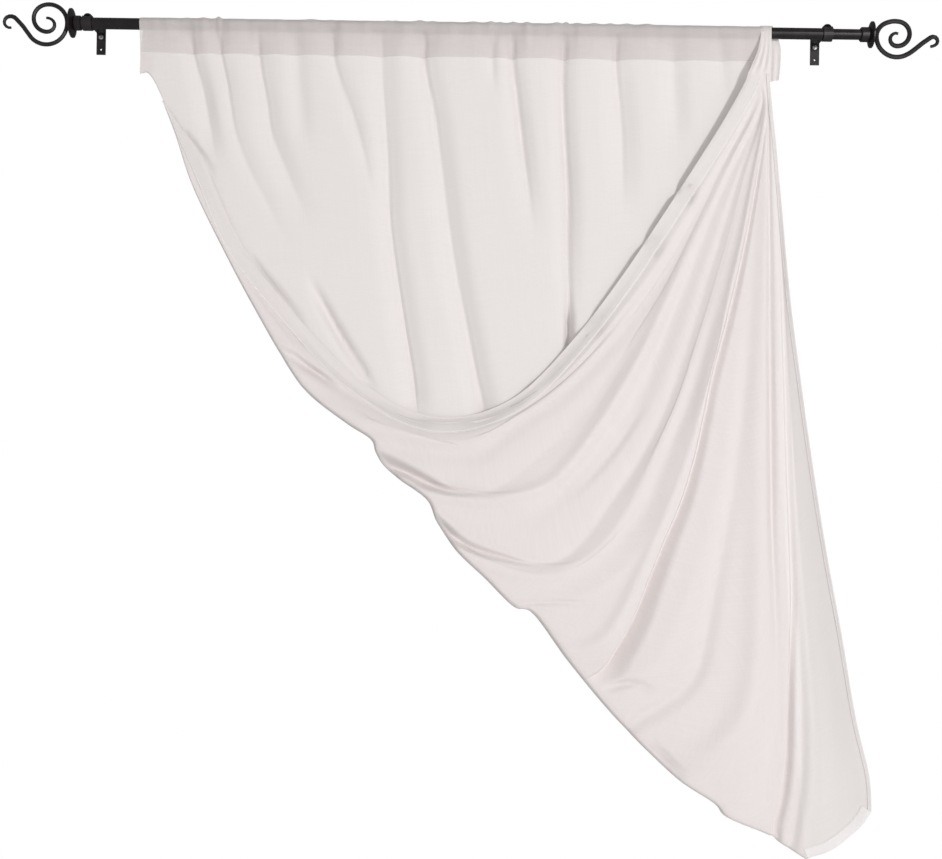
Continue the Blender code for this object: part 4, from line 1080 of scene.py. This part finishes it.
def build_cloth(cloth_mats, thread_mat):
    """The curtain panel with its turned hems, and its stitches."""
    rows, offsets = cloth_rows()
    places = flat_places(rows, offsets)
    points = [np.vstack(rows)]
    flats = [np.vstack(places)]
    faces = [grid_faces([len(row) for row in rows], offsets)]
    # Pocket faces take the voile painted darker, as painted shade; the rest takes the plain voile
    on_pocket = np.arange(len(faces[0])) < FIRST_BACK * (COLUMNS - 1)
    finish = [np.where(on_pocket, POCKET, VOILE)]
    runs = [(rows[FIRST_BACK] - np.array((0.0, STITCH_OFF_SEAM, 0.0)), -1.0)]
    count = len(points[0])
    for hem in hem_table(rows, places, offsets):
        # Each hem's material index picks its painted copy of the voile: painted shade for turned hems,
        # painted light for the short hem
        hem_painted_tone, facing = hem.pop("finish"), hem["facing"]
        strip, where = hem_grid(**hem)
        points.append(strip.reshape(-1, 3))
        flats.append(where.reshape(-1, 2))
        faces.append(even_grid_faces(strip) + count)
        finish.append(np.full(len(faces[-1]), hem_painted_tone))
        count += len(points[-1])
        inside = blend(strip[-2], strip[-3], STITCH_SHARE)
        runs.append((inside + np.array((0.0, facing * STITCH_OFF_HEM, 0.0)), facing))
    mesh = new_mesh("curtain_cloth", np.vstack(points).tolist(), np.vstack(faces).tolist(), *cloth_mats)
    layer = mesh.uv_layers.new(name="flat")
    corners = np.empty(len(mesh.loops), dtype=np.int32)
    mesh.loops.foreach_get("vertex_index", corners)
    layer.data.foreach_set("uv", np.vstack(flats)[corners].ravel())
    mesh.polygons.foreach_set("material_index", np.concatenate(finish).astype(np.int32))
    mesh.shade_smooth()
    mesh.update()
    cloth = new_object("curtain_cloth", mesh)
    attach(cloth, "root")
    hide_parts("curtain_panel")
    stitches = build_stitches(runs, thread_mat)


# Materials
def feed(tree, node, inputs):
    """Gives a node's inputs their values, or links them to the outputs of other nodes."""
    for name, value in inputs.items():
        if isinstance(value, bpy.types.NodeSocket):
            tree.links.new(value, node.inputs[name])
        else:
            node.inputs[name].default_value = value


def add(tree, kind, inputs, output=0, **settings):
    """Adds a shader node and gives back one of its outputs."""
    node = tree.nodes.new("ShaderNode" + kind)
    for name, value in settings.items():
        setattr(node, name, value)
    feed(tree, node, inputs)
    return node.outputs[output]


def node_material(name):
    mat = bpy.data.materials.new(name)
    mat.use_nodes = True
    return mat, mat.node_tree, mat.node_tree.nodes["Principled BSDF"]


def noise(tree, vector, scale=1.0, detail=3.0):
    inputs = {"Vector": vector, "Scale": scale, "Detail": detail, "Roughness": 0.55}
    return add(tree, "TexNoise", inputs, "Fac")


def scaled(tree, vector, scale):
    return add(tree, "Mapping", {"Vector": vector, "Scale": scale})


def ramp(tree, factor, low, high, start=0.35, stop=0.65):
    """Colour that goes from low to high while the factor goes from start to stop."""
    colour = add(tree, "ValToRGB", {"Fac": factor})
    for element, place, value in zip(colour.node.color_ramp.elements, (start, stop), (low, high)):
        element.position = place
        element.color = (*value, 1.0)
    return colour


def relief(tree, height, distance, strength):
    return add(tree, "Bump", {"Height": height, "Distance": distance, "Strength": strength}, "Normal")


def voile_material(name, thin, thick, cover, through):
    """Semi-sheer voile: soft slubs along both yarns, in colour and relief, and light through it."""
    mat, tree, shader = node_material(name)
    place = add(tree, "UVMap", {}, "UV", uv_map="flat")
    down = noise(tree, scaled(tree, place, (SLUB_FINE, SLUB_LONG, 1.0)))
    across = noise(tree, scaled(tree, place, (SLUB_LONG, SLUB_FINE, 1.0)))
    both = add(tree, "Math", {0: down, 1: across}, operation="ADD")
    slubs = add(tree, "Math", {0: both, 1: 0.5}, operation="MULTIPLY")
    colour = ramp(tree, slubs, thin, thick)
    feed(tree, shader, {
        "Base Color": colour, "Roughness": 0.85, "Specular IOR Level": 0.25, "Sheen Weight": 0.10,
        "Sheen Roughness": 0.5, "Alpha": cover,
        "Normal": relief(tree, slubs, distance=0.0003, strength=0.18)})
    lit = add(tree, "BsdfTranslucent", {"Color": colour})
    mix = add(tree, "MixShader", {"Fac": through, 1: shader.outputs["BSDF"], 2: lit})
    feed(tree, tree.nodes["Material Output"], {"Surface": mix})
    return mat


def thread_material():
    """Pale sewing thread with a twist along it."""
    mat, tree, shader = node_material("sewing_thread")
    twist = noise(tree, add(tree, "TexCoord", {}, "Object"), THREAD_TWIST, detail=2.0)
    colour = ramp(tree, twist, low=(0.86, 0.82, 0.80), high=(0.93, 0.90, 0.88))
    feed(tree, shader, {"Base Color": colour, "Roughness": 0.6, "Sheen Weight": 0.2,
                        "Normal": relief(tree, twist, distance=0.0001, strength=0.3)})
    return mat


def lacquer_material(row):
    """Black lacquer on steel, with faint orange peel and small changes of gloss."""
    mat, tree, shader = node_material(row["name"])
    place = add(tree, "TexCoord", {}, "Object")
    warm = tuple(WARM_GAIN * part + WARM_LIFT for part in row["colour"])
    rough = add(tree, "MapRange", {
        "Value": noise(tree, place, GLOSS_CLOUDS), "To Min": row["roughness"] - ROUGH_LESS,
        "To Max": row["roughness"] + ROUGH_MORE})
    clouds = noise(tree, place, COLOUR_CLOUDS)
    peel = noise(tree, place, row["grain"], detail=2.0)
    feed(tree, shader, {
        "Base Color": ramp(tree, clouds, row["colour"], warm, start=0.45, stop=0.80),
        "Roughness": rough, "Specular IOR Level": LACQUER_GLOSS,
        "Normal": relief(tree, peel, row["relief"], strength=0.5)})
    return mat


def steel_material():
    """Bare screw steel with fine turning lines."""
    mat, tree, shader = node_material("screw_steel_finish")
    place = add(tree, "TexCoord", {}, "Object")
    lines = noise(tree, scaled(tree, place, TURNING_LINES))
    colour = ramp(tree, lines, low=(0.45, 0.45, 0.46), high=(0.68, 0.68, 0.69))
    feed(tree, shader, {"Base Color": colour, "Metallic": 0.9, "Roughness": 0.35,
                        "Normal": relief(tree, lines, distance=0.00005, strength=0.4)})
    return mat


def dress_nodes():
    """Gives each carried-over node of the frame its finish."""
    finishes = {row["node"]: lacquer_material(row) for row in LACQUERS}
    finishes["plate_screw"] = steel_material()
    for name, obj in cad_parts.items():
        for start, mat in finishes.items():
            if name.startswith(start):
                for slot in obj.material_slots:
                    slot.material = mat


# Camera, light and floor
def add_camera():
    data = bpy.data.cameras.new("photo_camera")
    data.sensor_width = SENSOR_WIDTH
    data.lens = LENS
    camera = new_object("photo_camera", data)
    upright = Matrix.Rotation(math.radians(90.0), 4, "X")
    roll = Matrix.Rotation(math.radians(CAMERA_ROLL), 4, "Z")
    camera.matrix_world = Matrix.Translation(CAMERA_AT) @ upright @ roll
    bpy.context.scene.camera = camera


def add_lamp(name, at, look_at, size, power):
    data = bpy.data.lights.new(name, "AREA")
    data.shape = "DISK"
    data.size = size
    data.energy = power
    light = new_object(name, data)
    light.location = at
    light.rotation_euler = (Vector(look_at) - Vector(at)).to_track_quat("-Z", "Y").to_euler()
    light.visible_camera = False


def add_world():
    """White behind the object, and a softer glow that lights it, stronger from the front."""
    world = bpy.data.worlds.new("studio")
    world.use_nodes = True
    tree = world.node_tree
    seen = tree.nodes["Background"]
    feed(tree, seen, {"Color": WHITE, "Strength": 1.0})
    direction = add(tree, "TexCoord", {}, "Generated")
    facing = add(tree, "VectorMath", {0: direction, 1: GLOW_FROM}, "Value", operation="DOT_PRODUCT")
    strength = add(tree, "MapRange", {"Value": facing, "From Min": -1.0, "From Max": 1.0,
                                      "To Min": GLOW_BEHIND, "To Max": GLOW_FRONT})
    glow = add(tree, "Background", {"Color": GLOW_COLOUR, "Strength": strength})
    to_camera = add(tree, "LightPath", {}, "Is Camera Ray")
    mix = add(tree, "MixShader", {"Fac": to_camera, 1: glow, 2: seen.outputs["Background"]})
    feed(tree, tree.nodes["World Output"], {"Surface": mix})
    bpy.context.scene.world = world


def add_floor():
    mat, tree, shader = node_material("pale_floor")
    feed(tree, shader, {"Base Color": (0.86, 0.86, 0.86, 1.0), "Roughness": 0.9, "Specular IOR Level": 0.1,
                        "Emission Color": WHITE, "Emission Strength": 0.10})
    corners = [(FLOOR_X[i], FLOOR_Y[j], FLOOR_Z) for i, j in ((0, 0), (1, 0), (1, 1), (0, 1))]
    new_object("studio_floor", new_mesh("studio_floor", corners, [(0, 1, 2, 3)], mat))


def main():
    add_camera()
    dress_nodes()
    build_cloth([voile_material(**row) for row in VOILES], thread_material())
    add_world()
    add_floor()
    bpy.context.scene.view_settings.view_transform = "Standard"
    for row in LAMPS:
        add_lamp(**row)


main()
